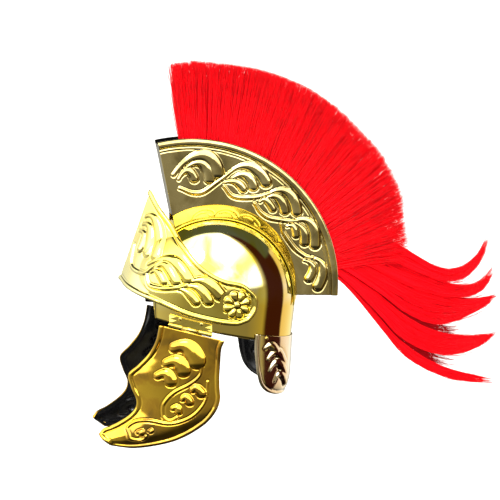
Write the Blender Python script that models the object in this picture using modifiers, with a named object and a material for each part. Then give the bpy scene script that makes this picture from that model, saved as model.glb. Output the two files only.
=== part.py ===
"""Legionary parade helmet: sheet brass bowl, embossed brow plate, standing crest box with a bristle
plume, neck guard, and two embossed cheek guards that swing on pinned hinges.

Frame, in metres: +Z up, the face looks along -Y, the wearer's left is +X.
The origin is the inside of the bowl's crown, where the helmet rests on the head.
"""
import math

import bmesh
import bpy
from mathutils import Matrix, Vector

MM = 0.001
UP = Vector((0.0, 0.0, 1.0))

# Bowl
BOWL_LENGTH = 244 * MM
BOWL_WIDTH = 196 * MM
DOME_HEIGHT = 122 * MM
BOWL_WALL = 1.2 * MM
RIM_DROP = 163.6 * MM          # lower rim below the crown, at the wearer's ears
RIM_SLOPE = 0.236              # how much the lower rim falls towards the neck
RIM_TAPER = 0.045              # how far the wall draws in at the rim, as a share of the width
BROW_OPENING_DROP = 100 * MM   # edge of the face opening below the crown
FACE_HALF_ANGLE = 42.0         # from the front to the tab that carries a cheek guard
DOME_SHARE = 0.7               # rows of the bowl that belong to its dome
SEAT = 1.0 * MM                # space between the bowl and a plate that lies on it
GAP = 0.3 * MM                 # space between two plates that meet

# Plates and embossing
PLATE = 1.2 * MM
EDGE_BEAD = 2.4 * MM           # height of a rolled rim
RELIEF = 3.8 * MM              # height of the embossed leaves
RELIEF_SINK = 0.75 * MM        # how deep an embossed leaf's edge is set into its sheet
RELIEF_BELLY = 0.3 * MM        # how much deeper its underside is
LEAF_WIDTH = 17 * MM
STEM_WIDTH = 5 * MM

# Brow plate
BROW_AHEAD = 12 * MM           # lower rim ahead of the bowl's front
BROW_REACH = BOWL_LENGTH / 2 + BROW_AHEAD
BROW_HALF_WIDTH = BOWL_WIDTH / 2
BROW_LOW_DROP = 150 * MM       # lower rim below the crown, at the rosettes
BROW_PEAK = 31 * MM            # peak above the crown
BROW_SWELL = 9 * MM            # how far its ends are rounded back
BROW_EDGE = 0.05               # width of the rolled rim, as a share of the plate's height
ROSETTE_RADIUS = 19 * MM

# Crest box
CREST_WIDTH = 40 * MM
CREST_OUTER_RADIUS = 217 * MM
CREST_OUTER_CENTRE = (-34 * MM, -111 * MM)
CREST_FOOT_SINK = 4 * MM       # foot line inside the bowl's length, before it is seated on the bowl
CREST_INNER_RADIUS = BOWL_LENGTH / 2 - CREST_FOOT_SINK
CREST_INNER_CENTRE = (1.5 * MM, -108.6 * MM)
CREST_OUTER_ANGLES = (-12.0, 94.0)
CREST_INNER_ANGLES = (-30.5, 97.5)
CREST_EDGE = 0.035             # width of the crest's rolled rim, as a share of the plate's height
FOOT_HALF_WIDTH = 39 * MM      # reach of the crest's foot strips down the dome
FOOT_LAP = 0.015               # how far a foot strip laps the crest plate, as a share of its height

# Plume
PLUME_HEIGHT = 101 * MM        # bristles above the crest's rim
PLUME_THICKNESS = 34 * MM
PLUME_SET = 14 * MM            # how deep the locks start inside the crest box
LOCK_WIDTH = 47 * MM

# Neck guard
NECK_DROP = 75 * MM
NECK_HALF_ANGLE = 65.0
NECK_OVERLAP = 9 * MM
NECK_TUCK = 12 * MM            # how far its lower edge draws in
NECK_EDGE = 0.05               # width of its rolled rim, as a share of its half width

# Hinges
AXIS_BELOW_RIM = 3.4 * MM
AXIS_INSET = 7 * MM            # hinge axis inside the bowl's widest line, at its own middle
AXIS_OUT = BOWL_WIDTH / 2 - AXIS_INSET
AXIS_Y = -43 * MM
AXIS_TOE_IN = 0.27             # how much nearer the middle plane the axis runs towards the front
HINGE_LENGTH = 62 * MM
HINGE_LEAF_UP = 11 * MM        # top of the fixed leaf above the bowl's rim
KNUCKLE_RADIUS = 3.0 * MM
PIN_RADIUS = 1.4 * MM
PIN_CLEARANCE = 0.35 * MM
PIN_STAND_OUT = 1 * MM         # pin beyond each end of its knuckles
LEAF_WEB_RISE = 2 * MM         # web of a knuckle on the fixed leaf, above the knuckle
GUARD_WEB_RISE = 3 * MM        # web of a knuckle on the cheek guard, below the knuckle
RIVET_RADIUS = 2.6 * MM
RIVET_HEIGHT = 1.6 * MM

# Cheek guards
CHEEK_WIDTH = 94 * MM
CHEEK_HEIGHT = 192 * MM
CHEEK_WRAP = 9 * MM
CHEEK_LEAN = 0.1 * MM          # keeps the guard's weight under its axis
CHEEK_EDGE = 0.05              # width of the guard's rolled rim, as a share of its width

BRASS = ((0.80, 0.60, 0.22), 0.18, 1.0)
DARK_BRASS = ((0.55, 0.42, 0.16), 0.22, 1.0)
BRIGHT_BRASS = ((0.95, 0.74, 0.18), 0.25, 1.0)
RED_HAIR = ((0.80, 0.01, 0.03), 0.55, 0.0)

# along: from the middle to the rosette. Places are shares of the half width, reach, low drop and peak.
BROW_ROWS = [
    # along, low_out, low_ahead, low_down, top_out, top_ahead, top_up
    (0.00, 0.000, 1.000, 0.647, 0.000, 0.657, 1.00),
    (0.12, 0.286, 0.948, 0.700, 0.204, 0.575, 0.29),
    (0.24, 0.530, 0.836, 0.747, 0.378, 0.463, -0.39),
    (0.36, 0.714, 0.687, 0.793, 0.531, 0.403, -0.90),
    (0.48, 0.837, 0.522, 0.853, 0.673, 0.343, -1.35),
    (0.60, 0.918, 0.351, 0.913, 0.857, 0.224, -2.03),
    (0.72, 0.974, 0.164, 0.960, 0.949, 0.090, -2.48),
    (0.84, 1.000, -0.022, 0.997, 0.974, -0.060, -2.79),
    (0.94, 0.990, -0.179, 1.010, 0.959, -0.239, -3.00),
    (1.00, 0.964, -0.299, 0.980, 0.929, -0.366, -3.45),
]

# Cheek guard outline, from the hinge (0) to the tip (1), in shares of its width and height.
CHEEK_ROWS = [
    # down, rear_along, rear_down, front_along, front_down
    (0.00, 0.530, 0.020, -0.482, 0.020),
    (0.06, 0.480, 0.086, -0.531, 0.132),
    (0.15, 0.457, 0.194, -0.644, 0.249),
    (0.25, 0.441, 0.301, -0.817, 0.359),
    (0.33, 0.444, 0.391, -0.979, 0.452),
    (0.42, 0.455, 0.458, -0.939, 0.546),
    (0.51, 0.424, 0.529, -0.861, 0.628),
    (0.59, 0.345, 0.607, -0.871, 0.690),
    (0.68, 0.202, 0.695, -0.967, 0.758),
    (0.79, -0.084, 0.814, -1.141, 0.834),
    (0.88, -0.400, 0.907, -1.269, 0.879),
    (0.95, -0.876, 0.997, -1.380, 0.914),
    (1.00, -1.272, 1.020, -1.454, 0.968),
]

# Neck guard, from the bowl (0) to its lower edge (1), in shares of its drop and half angle.
NECK_ROWS = [
    # down, drop, half_angle, tuck
    (0.00, 0.00, 1.000, 0.00),
    (0.30, 0.25, 0.998, 0.00),
    (0.55, 0.50, 0.978, 0.00),
    (0.74, 0.72, 0.940, 0.08),
    (0.87, 0.88, 0.860, 0.35),
    (0.95, 0.97, 0.720, 0.70),
    (1.00, 1.00, 0.520, 1.00),
]

# Embossed leaves of the left crest plate, as (along, height) shares of the plate.
CREST_LEAVES = [
    # root, bend, head, width
    ((0.044, 0.54), (0.158, 0.76), (0.234, 0.53), 1.00),
    ((0.088, 0.58), (0.160, 0.64), (0.197, 0.42), 0.80),
    ((0.056, 0.46), (0.105, 0.55), (0.132, 0.43), 0.62),
    ((0.288, 0.59), (0.362, 0.75), (0.444, 0.64), 0.86),
    ((0.296, 0.47), (0.353, 0.58), (0.398, 0.46), 0.72),
    ((0.271, 0.38), (0.317, 0.42), (0.361, 0.35), 0.58),
    ((0.476, 0.51), (0.541, 0.73), (0.620, 0.62), 0.80),
    ((0.484, 0.41), (0.523, 0.53), (0.575, 0.44), 0.68),
    ((0.464, 0.27), (0.485, 0.35), (0.526, 0.30), 0.52),
    ((0.650, 0.50), (0.700, 0.72), (0.784, 0.62), 0.80),
    ((0.650, 0.42), (0.696, 0.50), (0.746, 0.42), 0.66),
    ((0.635, 0.26), (0.660, 0.36), (0.698, 0.32), 0.50),
    ((0.837, 0.53), (0.890, 0.67), (0.964, 0.52), 0.76),
    ((0.829, 0.28), (0.867, 0.44), (0.916, 0.32), 0.62),
]
CREST_STEMS = [
    [(0.063, 0.34), (0.119, 0.23), (0.184, 0.23), (0.251, 0.42), (0.288, 0.59)],
    [(0.269, 0.32), (0.316, 0.19), (0.382, 0.21), (0.438, 0.33), (0.476, 0.51)],
    [(0.440, 0.20), (0.492, 0.11), (0.553, 0.13), (0.616, 0.33), (0.647, 0.49)],
    [(0.612, 0.20), (0.661, 0.12), (0.749, 0.16), (0.808, 0.32), (0.831, 0.48)],
]

# Embossed leaves of the brow plate's left half, as (along, height) shares.
BROW_LEAVES = [
    # root, bend, head, width
    ((0.035, 0.76), (0.150, 0.84), (0.262, 0.56), 0.90),
    ((0.035, 0.67), (0.125, 0.72), (0.173, 0.50), 0.80),
    ((0.030, 0.58), (0.090, 0.61), (0.097, 0.46), 0.62),
    ((0.227, 0.40), (0.408, 0.66), (0.556, 0.62), 0.86),
    ((0.297, 0.41), (0.385, 0.54), (0.486, 0.45), 0.72),
    ((0.284, 0.34), (0.331, 0.40), (0.398, 0.34), 0.58),
    ((0.564, 0.53), (0.680, 0.77), (0.800, 0.64), 0.86),
    ((0.554, 0.45), (0.638, 0.58), (0.718, 0.44), 0.72),
    ((0.524, 0.37), (0.575, 0.41), (0.635, 0.33), 0.58),
]
BROW_STEMS = [
    [(0.030, 0.42), (0.080, 0.24), (0.209, 0.27), (0.281, 0.42), (0.343, 0.56)],
    [(0.249, 0.28), (0.300, 0.19), (0.403, 0.24), (0.514, 0.38), (0.569, 0.53)],
]
ROSETTE_PLACE = (0.900, 0.48)
PETALS = 8

# Embossed leaves and buds of the left cheek guard, as (across, down) shares.
CHEEK_LEAVES = [
    # root, bend, head, width
    ((0.740, 0.13), (0.540, 0.06), (0.301, 0.15), 1.30),
    ((0.715, 0.22), (0.610, 0.15), (0.437, 0.24), 1.10),
    ((0.730, 0.31), (0.665, 0.25), (0.528, 0.33), 0.90),
    ((0.298, 0.38), (0.236, 0.34), (0.170, 0.36), 0.66),
    ((0.436, 0.46), (0.375, 0.43), (0.320, 0.45), 0.56),
    ((0.535, 0.56), (0.490, 0.52), (0.426, 0.55), 0.56),
    ((0.600, 0.84), (0.570, 0.82), (0.500, 0.83), 0.50),
    ((0.490, 0.80), (0.450, 0.79), (0.400, 0.80), 0.50),
]
CHEEK_STEMS = [
    [(0.256, 0.17), (0.308, 0.29), (0.463, 0.39), (0.632, 0.49), (0.647, 0.60), (0.457, 0.66)],
    [(0.150, 0.40), (0.196, 0.49), (0.264, 0.59), (0.360, 0.68), (0.502, 0.72), (0.739, 0.73),
     (0.800, 0.80)],
]

# Embossed leaves of the neck guard's left half, as (across, down) shares.
NECK_LEAVES = [
    # root, bend, head, width
    ((0.860, 0.27), (0.780, 0.20), (0.680, 0.30), 0.60),
    ((0.816, 0.46), (0.670, 0.33), (0.510, 0.50), 0.80),
    ((0.796, 0.64), (0.652, 0.50), (0.480, 0.66), 0.80),
    ((0.720, 0.79), (0.600, 0.68), (0.450, 0.80), 0.66),
]

# Locks of the plume. Angles are in degrees from straight up towards the back, about the crest's
# outer centre, and reaches are shares of the plume's height beyond the crest's rim.
PLUME_LOCKS = [
    # root_angle, bend_angle, bend_reach, tip_angle, tip_reach, width, taper
    (1.5, -0.2, 0.45, 1.0, 1.01, 0.96, 0.0),
    (9.5, 8.0, 0.45, 7.6, 1.06, 1.10, 0.0),
    (18.5, 16.5, 0.46, 15.6, 1.09, 1.20, 0.0),
    (27.5, 25.5, 0.47, 24.0, 1.13, 1.24, 0.0),
    (36.5, 34.2, 0.48, 32.6, 1.15, 1.26, 0.0),
    (45.5, 43.0, 0.50, 41.2, 1.16, 1.26, 0.0),
    (54.5, 52.0, 0.51, 50.2, 1.17, 1.26, 0.0),
    (63.0, 60.5, 0.52, 58.6, 1.20, 1.24, 0.0),
    (71.0, 68.8, 0.52, 67.0, 1.19, 1.20, 0.0),
    (78.0, 76.2, 0.50, 75.2, 1.12, 1.10, 0.0),
    (80.0, 88.6, 1.45, 82.1, 2.33, 0.78, 1.0),
    (81.0, 92.0, 1.36, 88.1, 2.43, 0.72, 1.0),
    (82.0, 95.3, 1.28, 93.8, 2.47, 0.72, 1.0),
    (83.0, 97.8, 1.18, 100.2, 2.54, 0.72, 1.0),
    (84.0, 99.6, 1.05, 106.4, 2.28, 0.68, 1.0),
    (84.5, 101.8, 0.98, 107.8, 2.72, 0.56, 1.0),
]


def clear_scene():
    """Removes whatever is in the open file."""
    for old in list(bpy.data.objects):
        bpy.data.objects.remove(old)


def collection(name):
    """Makes a collection in the scene."""
    made = bpy.data.collections.new(name)
    bpy.context.scene.collection.children.link(made)
    return made


def material(name, finish):
    """Makes a Principled material from a colour, roughness and metallic value."""
    colour, roughness, metallic = finish
    made = bpy.data.materials.new(name)
    made.use_nodes = True
    shader = made.node_tree.nodes["Principled BSDF"]
    shader.inputs["Base Color"].default_value = (*colour, 1.0)
    shader.inputs["Roughness"].default_value = roughness
    shader.inputs["Metallic"].default_value = metallic
    made.diffuse_color = (*colour, 1.0)
    return made


def add_object(name, mesh, finish, group):
    """Turns a bmesh into an object with its own material."""
    data = bpy.data.meshes.new(name)
    mesh.to_mesh(data)
    mesh.free()
    made = bpy.data.objects.new(name, data)
    data.materials.append(material(name, finish))
    group.objects.link(made)
    return made


def evaluated_mesh(made):
    """A new mesh of an object with its modifiers applied."""
    bpy.context.view_layer.update()
    graph = bpy.context.evaluated_depsgraph_get()
    return bpy.data.meshes.new_from_object(made.evaluated_get(graph))


def mirrored(made, name, group):
    """The same piece for the wearer's right side."""
    mesh = bmesh.new()
    mesh.from_mesh(evaluated_mesh(made))
    bmesh.ops.transform(mesh, matrix=made.matrix_world, verts=mesh.verts)
    bmesh.ops.scale(mesh, vec=(-1.0, 1.0, 1.0), verts=mesh.verts)
    bmesh.ops.reverse_faces(mesh, faces=mesh.faces)
    data = bpy.data.meshes.new(name)
    mesh.to_mesh(data)
    mesh.free()
    twin = bpy.data.objects.new(name, data)
    if not data.materials:
        data.materials.append(made.data.materials[0])
    group.objects.link(twin)
    return twin


def even(count):
    """Shares 0 to 1 in equal steps."""
    return [i / count for i in range(count + 1)]


def mix(start, end, share):
    """A value between two values."""
    return start + (end - start) * share


def along_rows(rows, share):
    """A smooth value between a table's rows, whose first column is the place along it."""
    last = len(rows) - 1
    index = max(i for i in range(last) if rows[i][0] <= share or i == 0)
    before, start, end, after = (rows[max(0, min(last, index + k))] for k in (-1, 0, 1, 2))
    step = end[0] - start[0]
    t = (share - start[0]) / step
    found = []
    for k in range(1, len(start)):
        slope_in = (end[k] - before[k]) / (end[0] - before[0]) * step
        slope_out = (after[k] - start[k]) / (after[0] - start[0]) * step
        found.append((2 * t ** 3 - 3 * t ** 2 + 1) * start[k] + (t ** 3 - 2 * t ** 2 + t) * slope_in
                     + (3 * t ** 2 - 2 * t ** 3) * end[k] + (t ** 3 - t ** 2) * slope_out)
    return found


def bent_grid(surface, columns, rows):
    """An open grid whose corners follow surface(a, b)."""
    mesh = bmesh.new()
    across, down = len(columns) - 1, len(rows) - 1
    bmesh.ops.create_grid(mesh, x_segments=across, y_segments=down, size=0.5)
    for vert in mesh.verts:
        a = columns[round((vert.co.x + 0.5) * across)]
        b = rows[round((vert.co.y + 0.5) * down)]
        vert.co = surface(a, b)
    bmesh.ops.remove_doubles(mesh, verts=mesh.verts, dist=1e-6)
    return mesh


def sheet(name, surface, columns, rows, finish, group, thickness=PLATE, inside=-1.0):
    """A sheet metal plate: a bent grid with Solidify. Its face is surface(a, b), its thickness is behind."""
    made = add_object(name, bent_grid(surface, columns, rows), finish, group)
    wall = made.modifiers.new("wall", "SOLIDIFY")
    wall.thickness = thickness
    wall.offset = inside
    made.modifiers.new("flat_faces", "TRIANGULATE")
    return made


def surface_frame(surface, a, b):
    """Point, outward normal and the two slopes of a surface."""
    step = 1e-3
    slope_a = (surface(a + step, b) - surface(a - step, b)) / (2 * step)
    slope_b = (surface(a, b + step) - surface(a, b - step)) / (2 * step)
    return surface(a, b), slope_a.cross(slope_b).normalized(), slope_a, slope_b


def step_on(surface, place, sideways):
    """The place on a surface that is a vector in the surface away from another place."""
    _, _, slope_a, slope_b = surface_frame(surface, *place)
    aa, bb, ab = slope_a.dot(slope_a), slope_b.dot(slope_b), slope_a.dot(slope_b)
    sa, sb = sideways.dot(slope_a), sideways.dot(slope_b)
    scale = aa * bb - ab * ab
    return place[0] + (sa * bb - sb * ab) / scale, place[1] + (sb * aa - sa * ab) / scale


def leaf_body(surface, path, width, height, head=1.7, sides=4, rings=4):
    """One embossed leaf or stem: a sphere drawn out along a path on a surface, fat towards its head."""
    mesh = bmesh.new()
    rows = [(i / (len(path) - 1), *place) for i, place in enumerate(path)]
    bmesh.ops.create_uvsphere(mesh, u_segments=sides, v_segments=rings, radius=1.0)
    for vert in mesh.verts:
        share = math.acos(max(-1.0, min(1.0, -vert.co.z))) / math.pi
        turn = math.atan2(vert.co.y, vert.co.x) + math.pi / 2
        here = along_rows(rows, share)
        ahead = along_rows(rows, min(1.0, share + 0.02))
        back = along_rows(rows, max(0.0, share - 0.02))
        _, normal, slope_a, slope_b = surface_frame(surface, here[0], here[1])
        direction = slope_a * (ahead[0] - back[0]) + slope_b * (ahead[1] - back[1])
        side = normal.cross(direction).normalized()
        swell = math.sin(math.pi * share ** head) ** 0.7 if 0.001 < share < 0.999 else 0.0
        rise = math.sin(turn)
        lift = height * (0.4 + 0.6 * swell) * min(1.0, 3 * swell) * rise if rise > 0 else RELIEF_BELLY * rise
        moved = step_on(surface, here, side * (width / 2 * swell * math.cos(turn)))
        point, normal, _, _ = surface_frame(surface, *moved)
        vert.co = point + normal * (lift - RELIEF_SINK)
    bmesh.ops.triangulate(mesh, faces=mesh.faces)
    return mesh


def emboss(plate, surface, leaves, stems, group):
    """Joins leaves and stems to a plate."""
    for root, bend, head, width in leaves:
        rings = 4 if width > 0.7 else 3
        leaf = leaf_body(surface, (root, bend, head), width * LEAF_WIDTH, RELIEF, rings=rings)
        join_body(plate, leaf, group, plate.name + "_leaf")
    for path in stems:
        stem = leaf_body(surface, path, STEM_WIDTH, RELIEF * 0.7, head=1.0, sides=3, rings=5)
        join_body(plate, stem, group, plate.name + "_stem")


def add_tool(target, mesh, group, name, operation):
    """A Boolean modifier on a target, with its body in the cutters' collection."""
    bmesh.ops.recalc_face_normals(mesh, faces=mesh.faces)
    data = bpy.data.meshes.new(name)
    mesh.to_mesh(data)
    mesh.free()
    tool = bpy.data.objects.new(name, data)
    group.objects.link(tool)
    tool.hide_render = True
    tool.display_type = "WIRE"
    change = target.modifiers.new(name, "BOOLEAN")
    change.operation = operation
    change.object = tool


def join_body(target, mesh, group, name):
    """Joins a closed body to a target."""
    add_tool(target, mesh, group, name, "UNION")


def cut_body(target, mesh, group, name):
    """Cuts a closed body out of a target."""
    add_tool(target, mesh, group, name, "DIFFERENCE")


def fill_pockets(made):
    """Applies an object's modifiers and keeps its outer shell, so no pocket is left between joined bodies."""
    mesh = bmesh.new()
    mesh.from_mesh(evaluated_mesh(made))
    shells = []
    left = set(mesh.faces)
    while left:
        shell = [left.pop()]
        for face in shell:
            near = {other for edge in face.edges if len(edge.link_faces) == 2 for other in edge.link_faces}
            shell.extend(near & left)
            left -= near
        shells.append(shell)
    shells.sort(key=len)
    for shell in shells[:-1]:
        bmesh.ops.delete(mesh, geom=shell, context="FACES")
    made.modifiers.clear()
    mesh.to_mesh(made.data)
    mesh.free()


# The bowl

def bowl_centre():
    """Centre of the dome's ellipsoid."""
    return Vector((0.0, 0.0, BOWL_WALL - DOME_HEIGHT))


def rim_height(y):
    """Height of the bowl's lower rim."""
    return -RIM_DROP - RIM_SLOPE * y


def wall_share(z):
    """Width of the wall below the dome, as a share of the dome's own."""
    below = max(0.0, bowl_centre().z - z) / (RIM_DROP - DOME_HEIGHT)
    return 1.0 - RIM_TAPER * below ** 2 / (1.0 + 0.5 * below ** 2)


def bowl_edge(angle):
    """Lowest height of the bowl at an angle from the front."""
    turn = abs(math.degrees(angle))
    if turn >= FACE_HALF_ANGLE:
        return rim_height(-BOWL_LENGTH / 2 * (1.0 - RIM_TAPER) * math.cos(angle))
    return -BROW_OPENING_DROP * (1.0 + 0.1 * (turn / FACE_HALF_ANGLE) ** 2)


def bowl_surface(angle, share):
    """Outer face of the bowl. share 0 is the crown, DOME_SHARE its widest line and 1 its lower rim."""
    centre = bowl_centre()
    low = bowl_edge(angle)
    polar_end = math.pi / 2 if low < centre.z else math.acos((low - centre.z) / DOME_HEIGHT)
    dome_end = DOME_SHARE if low < centre.z else 1.0
    polar = min(1.0, share / dome_end) * polar_end
    radius = math.sin(polar)
    z = centre.z + DOME_HEIGHT * math.cos(polar)
    if share > dome_end:
        z = mix(centre.z, low, (share - DOME_SHARE) / (1.0 - DOME_SHARE))
        radius = wall_share(z)
    return Vector((BOWL_WIDTH / 2 * radius * math.sin(angle), -BOWL_LENGTH / 2 * radius * math.cos(angle), z))


def clear_of_bowl(point, out=SEAT + PLATE):
    """Moves a point out to where a plate lies on the bowl, if it is nearer than that."""
    centre = bowl_centre()
    half = (BOWL_WIDTH / 2 + out, BOWL_LENGTH / 2 + out, DOME_HEIGHT + out)
    from_centre = point - centre
    if from_centre.z < 0.0:
        taper = wall_share(point.z)
        reach = math.hypot(from_centre.x / (half[0] * taper), from_centre.y / (half[1] * taper))
        if 0.0 < reach < 1.0:
            return Vector((point.x / reach, point.y / reach, point.z))
        return point
    reach = math.sqrt(sum((part / size) ** 2 for part, size in zip(from_centre, half)))
    return centre + from_centre / reach if reach < 1.0 else point


def make_bowl(parts):
    """The bowl: an ellipsoid shell with a face opening and a rim that falls towards the neck."""
    half = [FACE_HALF_ANGLE * 0.93 * share for share in even(3)]
    half += [mix(FACE_HALF_ANGLE, 180.0, share) for share in even(12)]
    degrees = [-turn for turn in reversed(half[1:])] + half
    columns = [math.radians(turn) for turn in degrees]
    rows = [1.0, 0.85, DOME_SHARE, 0.56, 0.42, 0.28, 0.14, 0.0]
    sheet("bowl", bowl_surface, columns, rows, BRASS, parts, BOWL_WALL)


# The brow plate

def brow_surface(along, height):
    """Outer face of the brow plate. along runs from -1, at the right rosette, to 1, at the left one."""
    row = along_rows(BROW_ROWS, min(1.0, abs(along)))
    side = 1.0 if along >= 0 else -1.0
    low = Vector((row[0] * BROW_HALF_WIDTH * side, -row[1] * BROW_REACH, -row[2] * BROW_LOW_DROP))
    top = Vector((row[3] * BROW_HALF_WIDTH * side, -row[4] * BROW_REACH, row[5] * BROW_PEAK))
    point = low.lerp(top, height)
    swell = 4 * height * (1.0 - height)
    rounding = max(0.0, abs(along) - 0.85) / 0.15
    point.y += BROW_SWELL * swell * rounding ** 2
    return clear_of_bowl(point)


def brow_face(along, height):
    """The brow plate with its rolled rims."""
    point, normal, _, _ = surface_frame(brow_surface, along, height)
    low_bead = 1.0 - abs(height - BROW_EDGE) / BROW_EDGE
    top_bead = 1.0 - abs(height - 1.0 + BROW_EDGE) / BROW_EDGE
    return point + normal * EDGE_BEAD * max(0.0, low_bead, top_bead)


def add_rosette(plate, place, group):
    """A rosette of petals round a boss."""
    _, normal, slope_a, _ = surface_frame(brow_surface, *place)
    first = slope_a.normalized()
    for index in range(PETALS):
        turn = 2 * math.pi * (index + 0.5) / PETALS
        ray = (first * math.cos(turn) + normal.cross(first) * math.sin(turn)) * ROSETTE_RADIUS
        path = [step_on(brow_surface, place, ray * reach) for reach in (0.30, 0.65, 1.0)]
        petal = leaf_body(brow_surface, path, ROSETTE_RADIUS * 0.56, RELIEF * 0.7, head=1.3, sides=3)
        join_body(plate, petal, group, "petal")
    path = [step_on(brow_surface, place, first * ROSETTE_RADIUS * reach) for reach in (-0.25, 0.0, 0.25)]
    boss = leaf_body(brow_surface, path, ROSETTE_RADIUS * 0.44, RELIEF * 0.7, head=1.0)
    join_body(plate, boss, group, "boss")


def make_brow(parts, tools):
    """The brow plate: a tall peaked band, embossed on both sides, with a rosette at each end."""
    columns = [-share for share in reversed(even(15)[1:])] + even(15)
    rows = [0.0, BROW_EDGE, 2 * BROW_EDGE, 0.36, 0.64, 1.0 - 2 * BROW_EDGE, 1.0 - BROW_EDGE, 1.0]
    plate = sheet("brow_plate", brow_face, columns, rows, BRIGHT_BRASS, parts)
    for side in (1.0, -1.0):
        leaves = [tuple((side * a, b) for a, b in row[:3]) + row[3:] for row in BROW_LEAVES]
        stems = [[(side * a, b) for a, b in path] for path in BROW_STEMS]
        emboss(plate, brow_surface, leaves, stems, tools)
        add_rosette(plate, (side * ROSETTE_PLACE[0], ROSETTE_PLACE[1]), tools)
    fill_pockets(plate)


# The crest box

def arc_point(centre, radius, angles, share):
    """A point of an arc in the middle plane, as (y, z). Angles run from straight up towards the back."""
    angle = math.radians(mix(angles[0], angles[1], share))
    return centre[0] + radius * math.sin(angle), centre[1] + radius * math.cos(angle)


def crest_place(along, height, x):
    """A point of the crest box. along runs from its front edge to its back edge, height from foot to rim."""
    inner = arc_point(CREST_INNER_CENTRE, CREST_INNER_RADIUS, CREST_INNER_ANGLES, along)
    foot = clear_of_bowl(Vector((CREST_WIDTH / 2 - PLATE, *inner)), SEAT)
    outer = arc_point(CREST_OUTER_CENTRE, CREST_OUTER_RADIUS, CREST_OUTER_ANGLES, along)
    return Vector((x, mix(foot.y, outer[0], height), mix(foot.z, outer[1], height)))


def crest_flat(along, height):
    """Outer face of the left crest plate without its rim."""
    return crest_place(along, height, CREST_WIDTH / 2)


def crest_face(along, height):
    """Outer face of the left crest plate, with its rolled rim."""
    bead = max(0.0, 1.0 - abs(height - 1.0 + CREST_EDGE) / CREST_EDGE)
    return crest_place(along, height, CREST_WIDTH / 2 + EDGE_BEAD * bead)


def foot_strip(along, height):
    """The left strip that slopes from the crest plate's foot down to the dome."""
    angle = math.radians(mix(*CREST_INNER_ANGLES, along))
    level = math.sqrt(1.0 - (FOOT_HALF_WIDTH / (BOWL_WIDTH / 2)) ** 2)
    on_dome = Vector((FOOT_HALF_WIDTH, BOWL_LENGTH / 2 * level * math.sin(angle),
                      bowl_centre().z + DOME_HEIGHT * level * math.cos(angle)))
    at_plate = crest_place(along, FOOT_LAP, CREST_WIDTH / 2 + GAP + PLATE)
    return clear_of_bowl(on_dome.lerp(at_plate, height))


def crest_cap(along, across, height):
    """A narrow plate that closes an end of the crest box between its two side plates."""
    half = CREST_WIDTH / 2 - PLATE - GAP
    return crest_place(along, mix(2 * FOOT_LAP, 1.0 - CREST_EDGE, height), mix(-half, half, across))


def make_crest(parts, tools):
    """The crest box: two embossed side plates, their foot strips and two end caps."""
    rows = [0.0, 0.5, 1.0 - 2 * CREST_EDGE, 1.0 - CREST_EDGE, 1.0]
    left = sheet("crest_plate_left", crest_face, even(18), rows, DARK_BRASS, parts)
    emboss(left, crest_flat, CREST_LEAVES, CREST_STEMS, tools)
    fill_pockets(left)
    mirrored(left, "crest_plate_right", parts)
    strip = sheet("crest_foot_left", foot_strip, even(18), even(1), BRIGHT_BRASS, parts)
    mirrored(strip, "crest_foot_right", parts)
    sheet("crest_cap_front", lambda a, b: crest_cap(0.0, a, b), even(1), even(4), BRASS, parts)
    sheet("crest_cap_back", lambda a, b: crest_cap(1.0, 1.0 - a, b), even(1), even(2), DARK_BRASS, parts)


# The plume

def plume_point(angle, reach):
    """A point of the plume in the middle plane, as (y, z)."""
    radius = CREST_OUTER_RADIUS + reach * PLUME_HEIGHT
    turn = math.radians(angle)
    return CREST_OUTER_CENTRE[0] + radius * math.sin(turn), CREST_OUTER_CENTRE[1] + radius * math.cos(turn)


def lock_body(row, shift):
    """One lock of bristles: a sphere drawn out from inside the crest box to its tip."""
    root_angle, bend_angle, bend_reach, tip_angle, tip_reach, width, taper = row
    path = [
        (0.0, *plume_point(root_angle, -PLUME_SET / PLUME_HEIGHT)),
        (0.5, *plume_point(bend_angle, bend_reach)),
        (1.0, *plume_point(tip_angle, tip_reach)),
    ]
    rings = 5 if taper else 4
    mesh = bmesh.new()
    bmesh.ops.create_uvsphere(mesh, u_segments=6, v_segments=rings, radius=1.0)
    for vert in mesh.verts:
        step = math.acos(max(-1.0, min(1.0, -vert.co.z))) / math.pi
        inner = (step * rings - 1.0) / (rings - 2.0)
        share = mix(0.06, 0.94, inner) if abs(inner - 0.5) < 0.6 else round(step)
        turn = math.atan2(vert.co.y, vert.co.x) + math.pi / 6
        y, z = along_rows(path, share)
        ahead, back = (along_rows(path, max(0.0, min(1.0, share + near))) for near in (0.02, -0.02))
        line = Vector((0.0, ahead[0] - back[0], ahead[1] - back[1])).normalized()
        side = Vector((0.0, -line.z, line.y))
        fan = mix(0.62, 1.0, share)
        tail = 1.0 - 0.85 * max(0.0, share - 0.35) / 0.65
        swell = mix(fan, tail, taper) if 0.001 < share < 0.999 else 0.0
        depth = PLUME_THICKNESS / 2 * (mix(1.0, 1.25, share) if not taper else 0.9 * tail)
        depth *= 1.0 if swell else 0.0
        across = width * LOCK_WIDTH / 2 * swell * math.cos(turn)
        vert.co = Vector((depth * math.sin(turn) + shift * share, y, z)) + side * across
    bmesh.ops.triangulate(mesh, faces=mesh.faces)
    return mesh


def make_plume(parts, tools):
    """The plume: locks of bristles fused to the base that fills the crest box."""
    def base(along, height):
        return crest_place(along, height, 0.0)
    plume = sheet("plume", base, [mix(0.02, 0.98, share) for share in even(16)], [0.12, 0.93],
                  RED_HAIR, parts, CREST_WIDTH - 2 * (PLATE + GAP), 0.0)
    for index, row in enumerate(PLUME_LOCKS):
        lock = lock_body(row, PLUME_THICKNESS * (0.05, -0.07, 0.02, -0.04)[index % 4])
        join_body(plume, lock, tools, "lock")


# The neck guard

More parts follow.
